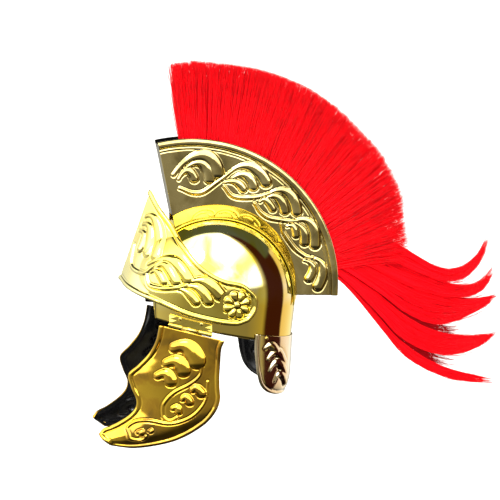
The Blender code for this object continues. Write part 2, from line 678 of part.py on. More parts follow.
def neck_surface(across, down):
    """Outer face of the neck guard. across runs from the wearer's right, -1, to the left, 1."""
    drop, half_angle, tuck = along_rows(NECK_ROWS, down)
    angle = math.radians(NECK_HALF_ANGLE) * half_angle * across
    out = SEAT + PLATE
    y = (BOWL_LENGTH / 2 + out) * (1.0 - RIM_TAPER) * math.cos(angle)
    z = rim_height(y) + NECK_OVERLAP - drop * (NECK_DROP + NECK_OVERLAP)
    share = wall_share(z)
    back = (BOWL_LENGTH / 2 + out) * share * math.cos(angle) - tuck * NECK_TUCK
    return Vector(((BOWL_WIDTH / 2 + out) * share * math.sin(angle), back, z))


def neck_face(across, down):
    """The neck guard with its rolled side rims."""
    point, normal, _, _ = surface_frame(neck_surface, across, down)
    bead = max(0.0, 1.0 - abs(abs(across) - 1.0 + NECK_EDGE) / NECK_EDGE)
    return point + normal * EDGE_BEAD * 0.8 * bead


def make_neck_guard(parts, tools):
    """The neck guard: a curved tongue riveted over the back of the bowl's rim."""
    rim = [-1.0, NECK_EDGE - 1.0, 2 * NECK_EDGE - 1.0]
    across = rim + [1.8 * share - 0.9 for share in even(12)[1:-1]] + [-share for share in reversed(rim)]
    guard = sheet("neck_guard", neck_face, across, [row[0] for row in NECK_ROWS], BRASS, parts)
    for side in (1.0, -1.0):
        leaves = [tuple((side * a, b) for a, b in row[:3]) + row[3:] for row in NECK_LEAVES]
        emboss(guard, neck_surface, leaves, [], tools)
    fill_pockets(guard)
    rivet = add_rivet("neck_rivet_left", neck_surface, (0.85, 0.06), parts)
    mirrored(rivet, "neck_rivet_right", parts)


# Hinges and cheek guards

def add_rivet(name, surface, place, parts):
    """A domed rivet head seated on a plate: a turned profile."""
    point, normal, _, _ = surface_frame(surface, *place)
    profile = bmesh.new()
    heights = (1.0, 0.85, 0.45, 0.0, 0.0)
    radii = (0.0, 0.6, 1.0, 1.0, 0.0)
    verts = [profile.verts.new((RIVET_RADIUS * r, 0.0, RIVET_HEIGHT * h)) for r, h in zip(radii, heights)]
    for upper, lower in zip(verts, verts[1:]):
        profile.edges.new((upper, lower))
    made = add_object(name, profile, BRASS, parts)
    turn = normal.to_track_quat("Z", "Y").to_matrix().to_4x4()
    made.matrix_world = Matrix.Translation(point + normal * GAP) @ turn
    turned = made.modifiers.new("turned", "SCREW")
    turned.steps = turned.render_steps = 8
    turned.use_merge_vertices = True
    turned.merge_threshold = 1e-5
    return made


def hinge_frame():
    """The left hinge: its middle, then unit vectors along the axis, outward and up."""
    middle = Vector((AXIS_OUT, AXIS_Y, rim_height(AXIS_Y) - AXIS_BELOW_RIM))
    along = Vector((AXIS_TOE_IN, 1.0, -RIM_SLOPE)).normalized()
    outward = Vector((1.0, -AXIS_TOE_IN, 0.0)).normalized()
    return middle, along, outward, outward.cross(along)


def leaf_surface(along, height):
    """Outer face of the left hinge's fixed leaf, from its knuckles up to the bowl's side."""
    middle, axis, outward, up = hinge_frame()
    low = middle + axis * mix(-0.5, 0.5, along) * HINGE_LENGTH + outward * PLATE / 2
    low += up * (KNUCKLE_RADIUS + GAP)
    out = SEAT + PLATE
    z = rim_height(low.y) + HINGE_LEAF_UP
    share = wall_share(z)
    half_x, half_y = (BOWL_WIDTH / 2 + out) * share, (BOWL_LENGTH / 2 + out) * share
    top = Vector((half_x * math.sqrt(1.0 - (low.y / half_y) ** 2), low.y, z))
    return clear_of_bowl(low.lerp(top, height), out)


def rod_body(start, end, radius, sides=10):
    """A capped cylinder between two points."""
    mesh = bmesh.new()
    line = end - start
    place = Matrix.Translation((start + end) / 2) @ line.to_track_quat("Z", "Y").to_matrix().to_4x4()
    bmesh.ops.create_cone(mesh, cap_ends=True, segments=sides, radius1=radius, radius2=radius,
                          depth=line.length, matrix=place)
    return mesh


def web_body(start, end, upward, outward):
    """A flat web that ties a knuckle to its plate."""
    mesh = bmesh.new()
    line = end - start
    middle = (start + end) / 2 + upward / 2
    place = Matrix((line.normalized(), upward.normalized(), outward)).transposed().to_4x4()
    size = Matrix.Diagonal((line.length - GAP, upward.length, PLATE * 0.9, 1.0))
    bmesh.ops.create_cube(mesh, size=1.0, matrix=Matrix.Translation(middle) @ place @ size)
    return mesh


def add_knuckles(target, spans, upward, tools):
    """Joins knuckles, given as spans along the axis in shares of its length, to a plate and bores them."""
    middle, axis, outward, _ = hinge_frame()
    for span in spans:
        start, end = (middle + axis * (share * HINGE_LENGTH) for share in span)
        join_body(target, web_body(start, end, upward, outward), tools, "web")
        join_body(target, rod_body(start, end, KNUCKLE_RADIUS), tools, "knuckle")
    ends = (middle - axis * HINGE_LENGTH, middle + axis * HINGE_LENGTH)
    cut_body(target, rod_body(*ends, PIN_RADIUS + PIN_CLEARANCE), tools, "bore")


def cheek_surface(across, down):
    """Outer face of the left cheek guard. across runs from its rear edge to its front edge."""
    middle, axis, outward, _ = hinge_frame()
    rear_along, rear_down, front_along, front_down = along_rows(CHEEK_ROWS, down)
    rear = middle + axis * (rear_along * CHEEK_WIDTH) - UP * (rear_down * CHEEK_HEIGHT)
    front = middle + axis * (front_along * CHEEK_WIDTH) - UP * (front_down * CHEEK_HEIGHT)
    grown = min(1.0, max(0.0, down) / 0.2)
    bow = CHEEK_LEAN - CHEEK_WRAP * (2 * across - 1.0) ** 2 + CHEEK_WRAP / 3
    return rear.lerp(front, across) + outward * (PLATE / 2 + bow * grown * grown * (3 - 2 * grown))


def cheek_face(across, down):
    """The cheek guard with its rolled rim."""
    point, normal, _, _ = surface_frame(cheek_surface, across, down)
    rear_bead, front_bead = (1.0 - abs(place - CHEEK_EDGE) / CHEEK_EDGE for place in (across, 1.0 - across))
    return point + normal * EDGE_BEAD * max(0.0, rear_bead, front_bead) * min(1.0, down / 0.06)


def set_origin(made, place):
    """Moves an object's origin and leaves its shape where it is."""
    made.data.transform(Matrix.Translation(-place))
    made.location = place


def make_hinge(parts, tools):
    """The left hinge's fixed leaf, pin and rivets."""
    middle, axis, outward, up = hinge_frame()
    leaf = sheet("hinge_leaf_left", leaf_surface, even(6), even(2), BRASS, parts)
    knuckle = 0.3
    spans = [(-0.5, -0.5 + knuckle), (0.5 - knuckle, 0.5)]
    add_knuckles(leaf, spans, up * (KNUCKLE_RADIUS + LEAF_WEB_RISE), tools)
    mirrored(leaf, "hinge_leaf_right", parts)
    for name, along in (("front", 0.25), ("back", 0.75)):
        rivet = add_rivet("hinge_rivet_left_" + name, leaf_surface, (along, 0.82), parts)
        mirrored(rivet, "hinge_rivet_right_" + name, parts)
    reach = HINGE_LENGTH / 2 + PIN_STAND_OUT
    pin = rod_body(middle - axis * reach, middle + axis * reach, PIN_RADIUS, 8)
    mirrored(add_object("hinge_pin_left", pin, BRASS, parts), "hinge_pin_right", parts)


def make_cheek_guard(parts, tools):
    """The left cheek guard, embossed, with the middle knuckle of its hinge."""
    middle, _, _, up = hinge_frame()
    across = [0.0, CHEEK_EDGE, 2 * CHEEK_EDGE, 0.37, 0.63, 1 - 2 * CHEEK_EDGE, 1 - CHEEK_EDGE, 1.0]
    down = [row[0] for row in CHEEK_ROWS]
    guard = sheet("cheek_guard_left", cheek_face, across, down, BRASS, parts)
    emboss(guard, cheek_surface, CHEEK_LEAVES, CHEEK_STEMS, tools)
    half = 0.2 - GAP / HINGE_LENGTH
    add_knuckles(guard, [(-half, half)], -up * (KNUCKLE_RADIUS + GUARD_WEB_RISE), tools)
    fill_pockets(guard)
    twin = mirrored(guard, "cheek_guard_right", parts)
    set_origin(guard, middle)
    set_origin(twin, Vector((-middle.x, middle.y, middle.z)))


def build():
    """Makes the whole helmet."""
    clear_scene()
    parts = collection("legionary_helmet")
    tools = collection("cutters")
    tools.hide_render = True
    make_bowl(parts)
    make_brow(parts, tools)
    make_crest(parts, tools)
    make_plume(parts, tools)
    make_neck_guard(parts, tools)
    make_hinge(parts, tools)
    make_cheek_guard(parts, tools)


build()
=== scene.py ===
"""Looks of the legionary helmet: polished and aged brass, black inside faces and a red bristle plume."""

import math

import bpy
import numpy as np
from mathutils import Matrix, Vector

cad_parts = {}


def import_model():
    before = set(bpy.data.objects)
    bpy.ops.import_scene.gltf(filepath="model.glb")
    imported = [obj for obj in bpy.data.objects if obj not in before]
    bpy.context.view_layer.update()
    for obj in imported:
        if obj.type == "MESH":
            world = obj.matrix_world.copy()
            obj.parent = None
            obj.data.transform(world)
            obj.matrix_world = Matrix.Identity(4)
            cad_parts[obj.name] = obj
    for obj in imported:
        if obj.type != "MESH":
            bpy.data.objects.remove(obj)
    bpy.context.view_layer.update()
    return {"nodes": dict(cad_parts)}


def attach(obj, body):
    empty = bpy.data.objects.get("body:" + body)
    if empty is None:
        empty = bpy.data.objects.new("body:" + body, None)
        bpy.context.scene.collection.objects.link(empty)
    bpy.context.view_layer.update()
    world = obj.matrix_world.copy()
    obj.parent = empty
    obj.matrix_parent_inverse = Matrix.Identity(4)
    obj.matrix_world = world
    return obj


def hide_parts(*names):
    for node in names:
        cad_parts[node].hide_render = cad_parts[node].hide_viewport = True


MM = 0.001
SEED = 11

# Sizes shared with the CAD solids, in metres
BOWL_LENGTH = 244 * MM
BOWL_WIDTH = 196 * MM
DOME_HEIGHT = 122 * MM
BOWL_WALL = 1.2 * MM
RIM_DROP = 163.6 * MM
RIM_SLOPE = 0.236
RIM_TAPER = 0.045
BROW_OPENING_DROP = 100 * MM
FACE_HALF_ANGLE = 42.0
DOME_SHARE = 0.7
SEAT = 1.0 * MM
GAP = 0.3 * MM
PLATE = 1.2 * MM
EDGE_BEAD = 2.4 * MM
RELIEF = 3.8 * MM
LEAF_WIDTH = 17 * MM
STEM_WIDTH = 5 * MM
GROOVE_WIDTH = 2.0 * MM
GROOVE_DEPTH = 0.7 * MM

BROW_REACH = 134 * MM
BROW_HALF_WIDTH = 98 * MM
BROW_LOW_DROP = 150 * MM
BROW_PEAK = 31 * MM
ROSETTE_RADIUS = 19 * MM

CREST_WIDTH = 40 * MM
CREST_OUTER_RADIUS = 217 * MM
CREST_OUTER_CENTRE = (-34 * MM, -111 * MM)
CREST_INNER_RADIUS = 118 * MM
CREST_INNER_CENTRE = (1.5 * MM, -108.6 * MM)
CREST_OUTER_ANGLES = (-12.0, 94.0)
CREST_INNER_ANGLES = (-30.5, 97.5)
FOOT_HALF_WIDTH = 39 * MM
FOOT_LAP = 0.015

PLUME_HEIGHT = 101 * MM
PLUME_THICKNESS = 34 * MM

NECK_DROP = 75 * MM
NECK_HALF_ANGLE = 65.0
NECK_OVERLAP = 9 * MM
NECK_TUCK = 12 * MM

AXIS_BELOW_RIM = 3.4 * MM
AXIS_OUT = 91 * MM
AXIS_Y = -43 * MM
AXIS_TOE_IN = 0.27
HINGE_LENGTH = 62 * MM
KNUCKLE_RADIUS = 3.0 * MM
PIN_RADIUS = 1.4 * MM
PIN_CLEARANCE = 0.35 * MM
LEAF_FULLNESS = 1.22
LEAF_ROOT = 0.28
PETAL_REACH = 1.08
PETAL_TIP = 0.72
PETAL_START = 0.22
BOSS_SHARE = 0.27
KNUCKLE_SHARE = 0.2
KNUCKLE_SIDES = 24
WEB_TOP = 0.8
WEB_DROP = 3 * MM
WEB_HALF = 0.45
CHEEK_WIDTH = 94 * MM
CHEEK_HEIGHT = 192 * MM
CHEEK_WRAP = 9 * MM
CHEEK_LEAN = 0.1 * MM
CHEEK_FLAT_SHARE = 0.2

BROW_ROWS = [
    # along, low_out, low_ahead, low_down, top_out, top_ahead, top_up
    (0.00, 0.000, 1.000, 0.647, 0.000, 0.657, 1.00),
    (0.12, 0.286, 0.948, 0.700, 0.204, 0.575, 0.29),
    (0.24, 0.530, 0.836, 0.747, 0.378, 0.463, -0.39),
    (0.36, 0.714, 0.687, 0.793, 0.531, 0.403, -0.90),
    (0.48, 0.837, 0.522, 0.853, 0.673, 0.343, -1.35),
    (0.60, 0.918, 0.351, 0.913, 0.857, 0.224, -2.03),
    (0.72, 0.974, 0.164, 0.960, 0.949, 0.090, -2.48),
    (0.84, 1.000, -0.022, 0.997, 0.974, -0.060, -2.79),
    (0.94, 0.990, -0.179, 1.010, 0.959, -0.239, -3.00),
    (1.00, 0.964, -0.299, 0.980, 0.929, -0.366, -3.45),
]
CHEEK_ROWS = [
    # down, rear_along, rear_down, front_along, front_down
    (0.00, 0.530, 0.020, -0.482, 0.020),
    (0.06, 0.480, 0.086, -0.531, 0.132),
    (0.15, 0.457, 0.194, -0.644, 0.249),
    (0.25, 0.441, 0.301, -0.817, 0.359),
    (0.33, 0.444, 0.391, -0.979, 0.452),
    (0.42, 0.455, 0.458, -0.939, 0.546),
    (0.51, 0.424, 0.529, -0.861, 0.628),
    (0.59, 0.345, 0.607, -0.871, 0.690),
    (0.68, 0.202, 0.695, -0.967, 0.758),
    (0.79, -0.084, 0.814, -1.141, 0.834),
    (0.88, -0.400, 0.907, -1.269, 0.879),
    (0.95, -0.876, 0.997, -1.380, 0.914),
    (1.00, -1.272, 1.020, -1.454, 0.968),
]
NECK_ROWS = [
    # down, drop, half_angle, tuck
    (0.00, 0.00, 1.000, 0.00),
    (0.30, 0.25, 0.998, 0.00),
    (0.55, 0.50, 0.978, 0.00),
    (0.74, 0.72, 0.940, 0.08),
    (0.87, 0.88, 0.860, 0.35),
    (0.95, 0.97, 0.720, 0.70),
    (1.00, 1.00, 0.520, 1.00),
]

# Embossed leaves: root, bend and head in shares of the plate, then the width.
CREST_LEAVES = [
    ((0.04, 0.54), (0.16, 0.76), (0.23, 0.53), 1.00),
    ((0.09, 0.58), (0.16, 0.64), (0.20, 0.42), 0.80),
    ((0.06, 0.46), (0.10, 0.55), (0.13, 0.43), 0.62),
    ((0.29, 0.59), (0.36, 0.75), (0.44, 0.64), 0.86),
    ((0.30, 0.47), (0.35, 0.58), (0.40, 0.46), 0.72),
    ((0.27, 0.38), (0.32, 0.42), (0.36, 0.35), 0.58),
    ((0.48, 0.51), (0.54, 0.73), (0.62, 0.62), 0.80),
    ((0.48, 0.41), (0.52, 0.53), (0.58, 0.44), 0.68),
    ((0.46, 0.27), (0.48, 0.35), (0.53, 0.30), 0.52),
    ((0.65, 0.50), (0.70, 0.72), (0.78, 0.62), 0.80),
    ((0.65, 0.42), (0.70, 0.50), (0.75, 0.42), 0.66),
    ((0.64, 0.26), (0.66, 0.36), (0.70, 0.32), 0.50),
    ((0.84, 0.53), (0.89, 0.67), (0.96, 0.52), 0.76),
    ((0.83, 0.28), (0.87, 0.44), (0.92, 0.32), 0.62),
]
CREST_STEMS = [
    [(0.06, 0.34), (0.12, 0.23), (0.18, 0.23), (0.25, 0.42), (0.29, 0.59)],
    [(0.27, 0.32), (0.32, 0.19), (0.38, 0.21), (0.44, 0.33), (0.48, 0.51)],
    [(0.44, 0.20), (0.49, 0.11), (0.55, 0.13), (0.62, 0.33), (0.65, 0.49)],
    [(0.61, 0.20), (0.66, 0.12), (0.75, 0.16), (0.81, 0.32), (0.83, 0.48)],
]
BROW_LEAVES = [
    ((0.04, 0.76), (0.15, 0.84), (0.26, 0.56), 0.90),
    ((0.04, 0.67), (0.12, 0.72), (0.17, 0.50), 0.80),
    ((0.03, 0.58), (0.09, 0.61), (0.10, 0.46), 0.62),
    ((0.23, 0.40), (0.41, 0.66), (0.56, 0.62), 0.86),
    ((0.30, 0.41), (0.38, 0.54), (0.49, 0.45), 0.72),
    ((0.28, 0.34), (0.33, 0.40), (0.40, 0.34), 0.58),
    ((0.56, 0.53), (0.68, 0.77), (0.80, 0.64), 0.86),
    ((0.55, 0.45), (0.64, 0.58), (0.72, 0.44), 0.72),
    ((0.52, 0.37), (0.58, 0.41), (0.64, 0.33), 0.58),
]
BROW_STEMS = [
    [(0.03, 0.42), (0.08, 0.24), (0.21, 0.27), (0.28, 0.42), (0.34, 0.56)],
    [(0.25, 0.28), (0.30, 0.19), (0.40, 0.24), (0.51, 0.38), (0.57, 0.53)],
]
ROSETTE_PLACE = (0.910, 0.48)
PETALS = 8
CHEEK_LEAVES = [
    ((0.69, 0.09), (0.50, 0.08), (0.32, 0.15), 1.22),
    ((0.69, 0.20), (0.58, 0.18), (0.45, 0.23), 1.04),
    ((0.69, 0.30), (0.62, 0.28), (0.53, 0.32), 0.86),
    ((0.29, 0.37), (0.25, 0.35), (0.20, 0.39), 0.66),
    ((0.42, 0.46), (0.38, 0.44), (0.34, 0.48), 0.56),
    ((0.53, 0.55), (0.49, 0.54), (0.45, 0.57), 0.54),
    ((0.59, 0.84), (0.57, 0.83), (0.56, 0.84), 0.52),
    ((0.51, 0.80), (0.50, 0.79), (0.49, 0.80), 0.34),
]
CHEEK_STEMS = [
    [(0.25, 0.16), (0.23, 0.25), (0.33, 0.33), (0.52, 0.42), (0.66, 0.53), (0.60, 0.63), (0.47, 0.67),
     (0.42, 0.63)],
    [(0.13, 0.29), (0.14, 0.40), (0.20, 0.53), (0.28, 0.64), (0.42, 0.70), (0.69, 0.70), (0.83, 0.74),
     (0.78, 0.84), (0.50, 0.91), (0.33, 0.90), (0.42, 0.86)],
]
CHEEK_LEAF_ROOT = 0.58
NECK_LEAVES = [
    ((0.86, 0.27), (0.78, 0.20), (0.68, 0.30), 0.60),
    ((0.82, 0.46), (0.67, 0.33), (0.51, 0.50), 0.80),
    ((0.80, 0.64), (0.65, 0.50), (0.48, 0.66), 0.80),
    ((0.72, 0.79), (0.60, 0.68), (0.45, 0.80), 0.66),
]

# Where a leaf reaches its full width, how wide a stem's ends are, and the form of a stroke's section.
LEAF_FULL_AT = 0.75
STEM_END_SHARE = 0.55
STROKE_MARGIN = 0.75
STROKE_POWER = 0.75
# A leaf's height in shares of the relief: a fixed part, and one that grows with the leaf's width.
LEAF_LEAST_HEIGHT = 0.66
LEAF_ADDED_HEIGHT = 0.44

# Rolled rims: half their width, and how far in their middle lies.
BROW_RIM = 3.4 * MM
CREST_RIM = 5.2 * MM
CHEEK_RIM = 3.2 * MM
NECK_RIM = 2.4 * MM
FOOT_RIM = 1.2 * MM
FOOT_RIM_HEIGHT = 0.7 * MM
# The fine raised line inside the crest's rim: how far in, half its width and its height.
CREST_LINE = (13.2 * MM, 1.2 * MM, 0.6 * MM)

# Scrolls engraved on the foot strips
SCROLL_START = 0.10
SCROLL_STEP = 0.135
SCROLLS = 6
SCROLL_CURL = [(0.00, 0.30), (0.02, 0.58), (0.07, 0.76), (0.12, 0.66), (0.135, 0.42), (0.115, 0.30),
               (0.10, 0.42)]
SCROLL_VEIN = [(0.03, 0.44), (0.06, 0.56), (0.09, 0.52)]

# Brass finishes: bright, dull and dark colour, then the least and the most roughness.
BRASS = {
    "bowl": ((0.96, 0.90, 0.52), (0.95, 0.85, 0.26), (0.94, 0.78, 0.09), 0.03, 0.07),
    "brow": ((0.96, 0.80, 0.16), (0.88, 0.70, 0.12), (0.66, 0.52, 0.12), 0.06, 0.14),
    "foot": ((0.96, 0.74, 0.08), (0.90, 0.66, 0.06), (0.82, 0.58, 0.05), 0.16, 0.26),
    "crest": ((0.84, 0.70, 0.32), (0.62, 0.50, 0.20), (0.38, 0.31, 0.13), 0.07, 0.16),
    "cheek": ((0.92, 0.60, 0.06), (0.76, 0.44, 0.05), (0.46, 0.28, 0.05), 0.06, 0.14),
    "neck": ((0.92, 0.80, 0.56), (0.88, 0.74, 0.46), (0.76, 0.58, 0.30), 0.05, 0.12),
    "fitting": ((0.80, 0.64, 0.18), (0.66, 0.50, 0.12), (0.42, 0.31, 0.09), 0.12, 0.22),
    "leaf": ((0.90, 0.72, 0.14), (0.74, 0.58, 0.12), (0.42, 0.32, 0.09), 0.12, 0.22),
    "cap": ((0.90, 0.80, 0.50), (0.80, 0.68, 0.38), (0.60, 0.48, 0.24), 0.08, 0.16),
}
# Strength of the sheet's faint waves
USUAL_WAVES = 0.25
OTHER_WAVES = {"bowl": 0.06, "crest": 0.35}
# Painted reflection colours that change slowly along an axis: deeper gold on the bowl's lower wall, and a
# paler painted highlight on the brow's front. Columns: the axis, where the change starts and ends, and the
# colour that it ends in.
PAINTED_REFLECTION_TINTS = {
    "bowl": ("Z", -0.112, -0.135, (0.90, 0.70, 0.16)),
    "brow": ("Y", -0.07, -0.14, (0.93, 0.86, 0.44)),
}
# Finishes of plain plates, whose faces are shaded as planes.
FLAT_FINISHES = ("cap", "leaf")
# bristle_shaded is painted shade: a dark red for the bristles that fill the gaps between the tail's lower
# locks.
BRISTLE_COLOURS = {
    "bristle_bright": (0.98, 0.001, 0.008),
    "bristle_mid": (0.90, 0.001, 0.007),
    "bristle_deep": (0.62, 0.001, 0.006),
    "bristle_shaded": (0.36, 0.001, 0.004),
}
# How often each bristle colour is drawn
FAN_CHANCES = (0.50, 0.36, 0.14, 0.0)
TAIL_CHANCES = (0.54, 0.36, 0.10, 0.0)
SHADED_CHANCES = (0.0, 0.0, 0.0, 1.0)
FAN_BRISTLES = 4900
TAIL_BRISTLES = 3500
SHADED_BRISTLES = 420
FAN_ANGLES = (-2.5, 40.0, 84.0)
FAN_CLUMPS = 150
TAIL_WISPS = 9
TAIL_GATHERS_AT = 0.30
SHADED_LENGTH = 0.66

# Outline of the plume's fan: root angle, then the tip's angle and reach.
FAN_ROWS = [
    (-2.5, -4.2, 1.06),
    (5.0, 2.6, 1.09),
    (12.0, 9.0, 1.09),
    (19.0, 15.6, 1.12),
    (26.0, 22.0, 1.15),
    (33.0, 28.5, 1.17),
    (40.0, 35.0, 1.19),
    (47.0, 41.7, 1.20),
    (54.0, 48.6, 1.20),
    (60.0, 55.2, 1.23),
    (66.0, 61.5, 1.23),
    (72.0, 67.5, 1.22),
    (77.0, 73.2, 1.15),
    (82.0, 80.6, 1.10),
    (84.5, 84.6, 1.04),
]
# Lines through the plume's tail from top to bottom, each as (back, up) places in mm, from root to tip.
TAIL_GUIDES = [
    ((155, -15), (220, -30), (280, -60), (330, -90), (365, -95), (395, -75), (410, -45)),
    ((165, -45), (230, -75), (295, -105), (345, -125), (380, -130), (405, -120), (420, -95)),
    ((170, -60), (235, -90), (295, -125), (345, -140), (385, -145), (410, -140), (425, -135)),
    ((170, -70), (235, -110), (290, -150), (335, -170), (375, -165), (405, -155), (425, -145)),
    ((175, -80), (235, -125), (285, -170), (335, -195), (375, -200), (405, -195), (425, -190)),
    ((175, -85), (230, -135), (280, -190), (330, -215), (370, -220), (405, -210), (425, -195)),
    ((175, -90), (225, -140), (275, -200), (325, -235), (370, -250), (400, -255), (425, -260)),
    ((175, -95), (205, -120), (245, -170), (290, -225), (345, -255), (380, -265), (425, -270)),
]
# Locks of the tail: first and last line at the root, where the lock gathers, its spread there, its share.
TAIL_LOCKS = [
    (0.00, 0.65, 0.15, 0.08, 0.19),
    (0.55, 1.70, 1.05, 0.14, 0.18),
    (1.50, 3.40, 2.45, 0.42, 0.23),
    (3.62, 5.30, 4.50, 0.42, 0.20),
    (5.75, 7.05, 6.60, 0.34, 0.15),
]
# The same for the shaded bristles between the lower locks, whose dark colour is painted shade.
TAIL_SHADED = [
    (3.20, 3.90, 3.55, 0.10, 0.5),
    (5.10, 5.95, 5.50, 0.10, 0.5),
]

# The studio that the metal mirrors: turn in degrees from the left side towards the back, then a colour.
STUDIO_STRENGTH = 4.0
STUDIO_MIDDLE = [
    (-180, (0.16, 0.16, 0.15)),
    (-150, (0.22, 0.22, 0.21)),
    (-112, (0.28, 0.28, 0.27)),
    (-88, (0.55, 0.55, 0.53)),
    (-74, (0.80, 0.80, 0.78)),
    (58, (0.80, 0.80, 0.76)),
    (62, (0.20, 0.17, 0.10)),
    (68, (0.0125, 0.003, 0.002)),
    (98, (0.0125, 0.003, 0.002)),
    (101, (0.22, 0.165, 0.125)),
    (122, (0.25, 0.205, 0.17)),
    (140, (0.36, 0.34, 0.32)),
    (180, (0.30, 0.30, 0.29)),
]
STUDIO_LOW = [
    (-180, (0.08, 0.08, 0.075)),
    (-140, (0.16, 0.16, 0.16)),
    (-112, (0.205, 0.205, 0.20)),
    (-84, (0.175, 0.172, 0.16)),
    (-56, (0.125, 0.12, 0.11)),
    (-28, (0.082, 0.078, 0.066)),
    (0, (0.070, 0.066, 0.055)),
    (40, (0.066, 0.060, 0.048)),
    (62, (0.115, 0.095, 0.035)),
    (68, (0.0125, 0.003, 0.002)),
    (98, (0.0125, 0.003, 0.002)),
    (101, (0.24, 0.185, 0.14)),
    (140, (0.30, 0.29, 0.28)),
    (164, (0.08, 0.08, 0.075)),
    (180, (0.08, 0.08, 0.075)),
]
STUDIO_FAR = (0.022, 0.024, 0.018)
STUDIO_DEEP = 0.14
# Heights in degrees between which one band of the studio turns into the next.
DEEP_TO_LOW = (-42, -20)
LOW_TO_MIDDLE = (3, 9)
# The dark roof on the far side: how much it tips forward, and where its lower edge and its side begin.
ROOF_TIP = 0.6
ROOF_EDGE = (0.44, 0.50)
ROOF_SIDE = (0.16, 0.08)


def even(count):
    """Shares 0 to 1 in equal steps."""
    return np.linspace(0.0, 1.0, count + 1)


def mix(start, end, share):
    """A value between two values."""
    return start + (end - start) * share


def eased(share):
    """A share that starts and ends gently."""
    return share * share * (3 - 2 * share)


def rounded(share):
    """Height of a half circle at a share of its radius."""
    return np.sqrt(np.clip(1.0 - share ** 2, 0.0, 1.0))


def along_rows(rows, share):
    """Smooth values between a table's rows, whose first column is the place along it."""
    rows = np.array(rows, float)
    share = np.asarray(share, float)
    last = len(rows) - 1
    index = np.clip(np.searchsorted(rows[:, 0], share, side="right") - 1, 0, last - 1)
    before = rows[np.maximum(index - 1, 0)]
    start = rows[index]
    end = rows[index + 1]
    after = rows[np.minimum(index + 2, last)]
    step = end[..., :1] - start[..., :1]
    t = (share[..., None] - start[..., :1]) / step
    slope_in = (end - before) / (end[..., :1] - before[..., :1]) * step
    slope_out = (after - start) / (after[..., :1] - start[..., :1]) * step
    found = ((2 * t ** 3 - 3 * t ** 2 + 1) * start + (t ** 3 - 2 * t ** 2 + t) * slope_in
             + (3 * t ** 2 - 2 * t ** 3) * end + (t ** 3 - t ** 2) * slope_out)
    return [found[..., k] for k in range(1, rows.shape[1])]


def point(x, y, z):
    """Points from three broadcast arrays."""
    return np.stack(np.broadcast_arrays(x, y, z), axis=-1).astype(float)


def unit(vectors):
    """Vectors scaled to length 1."""
    return vectors / np.maximum(np.linalg.norm(vectors, axis=-1, keepdims=True), 1e-12)


def surface_normal(surface, a, b):
    """Outward normals of a surface."""
    step = 1e-3
    slope_a = surface(a + step, b) - surface(a - step, b)
    slope_b = surface(a, b + step) - surface(a, b - step)
    return unit(np.cross(slope_a, slope_b))


# Surfaces

def bowl_centre():
    """Centre height of the dome's ellipsoid."""
    return BOWL_WALL - DOME_HEIGHT


def rim_height(y):
    """Height of the bowl's lower rim."""
    return -RIM_DROP - RIM_SLOPE * y


def wall_share(z):
    """Width of the wall below the dome, as a share of the dome's own."""
    below = np.maximum(0.0, bowl_centre() - z) / (RIM_DROP - DOME_HEIGHT)
    return 1.0 - RIM_TAPER * below ** 2 / (1.0 + 0.5 * below ** 2)


def bowl_surface(turn, share):
    """Outer face of the bowl. turn is in degrees from the front, share runs from crown to lower rim."""
    angle = np.radians(turn)
    inside = np.abs(turn) < FACE_HALF_ANGLE
    rim = rim_height(-BOWL_LENGTH / 2 * (1.0 - RIM_TAPER) * np.cos(angle))
    opening = -BROW_OPENING_DROP * (1.0 + 0.1 * (turn / FACE_HALF_ANGLE) ** 2)
    low = np.where(inside, opening, rim)
    centre = bowl_centre()
    polar_end = np.where(inside, np.arccos(np.clip((opening - centre) / DOME_HEIGHT, -1, 1)), math.pi / 2)
    dome_end = np.where(inside, 1.0, DOME_SHARE)
    polar = np.minimum(1.0, share / dome_end) * polar_end
    z = centre + DOME_HEIGHT * np.cos(polar)
    radius = np.sin(polar)
    on_wall = share > dome_end
    z = np.where(on_wall, mix(centre, low, (share - DOME_SHARE) / (1.0 - DOME_SHARE)), z)
    radius = np.where(on_wall, wall_share(z), radius)
    return point(BOWL_WIDTH / 2 * radius * np.sin(angle), -BOWL_LENGTH / 2 * radius * np.cos(angle), z)


def clear_of_bowl(points, out=SEAT + PLATE):
    """Moves points out to where a plate lies on the bowl, if they are nearer than that."""
    centre = np.array([0.0, 0.0, bowl_centre()])
    half = np.array([BOWL_WIDTH / 2 + out, BOWL_LENGTH / 2 + out, DOME_HEIGHT + out])
    away = points - centre
    taper = wall_share(points[..., 2])
    flat = np.hypot(away[..., 0] / (half[0] * taper), away[..., 1] / (half[1] * taper))
    round_reach = np.sqrt((away / half) ** 2 @ np.ones(3))
    below = away[..., 2] < 0.0
    reach = np.where(below, flat, round_reach)
    scale = np.where((reach > 0.0) & (reach < 1.0), 1.0 / np.maximum(reach, 1e-9), 1.0)
    z = np.where(below, points[..., 2], centre[2] + away[..., 2] * scale)
    return point(points[..., 0] * scale, points[..., 1] * scale, z)


def brow_surface(along, height):
    """Outer face of the brow plate. along runs from -1, at the right rosette, to 1, at the left one."""
    row = along_rows(BROW_ROWS, np.minimum(1.0, np.abs(along)))
    side = np.where(np.asarray(along) >= 0, 1.0, -1.0)
    low = point(row[0] * BROW_HALF_WIDTH * side, -row[1] * BROW_REACH, -row[2] * BROW_LOW_DROP)
    top = point(row[3] * BROW_HALF_WIDTH * side, -row[4] * BROW_REACH, row[5] * BROW_PEAK)
    height = np.broadcast_to(height, np.shape(side))
    made = mix(low, top, height[..., None])
    rounding = np.maximum(0.0, np.abs(along) - 0.85) / 0.15
    made[..., 1] += 9 * MM * 4 * height * (1.0 - height) * rounding ** 2
    return clear_of_bowl(made)


def arc_point(centre, radius, angles, share):
    """Points of an arc in the middle plane, as (y, z)."""
    angle = np.radians(mix(angles[0], angles[1], share))
    return centre[0] + radius * np.sin(angle), centre[1] + radius * np.cos(angle)


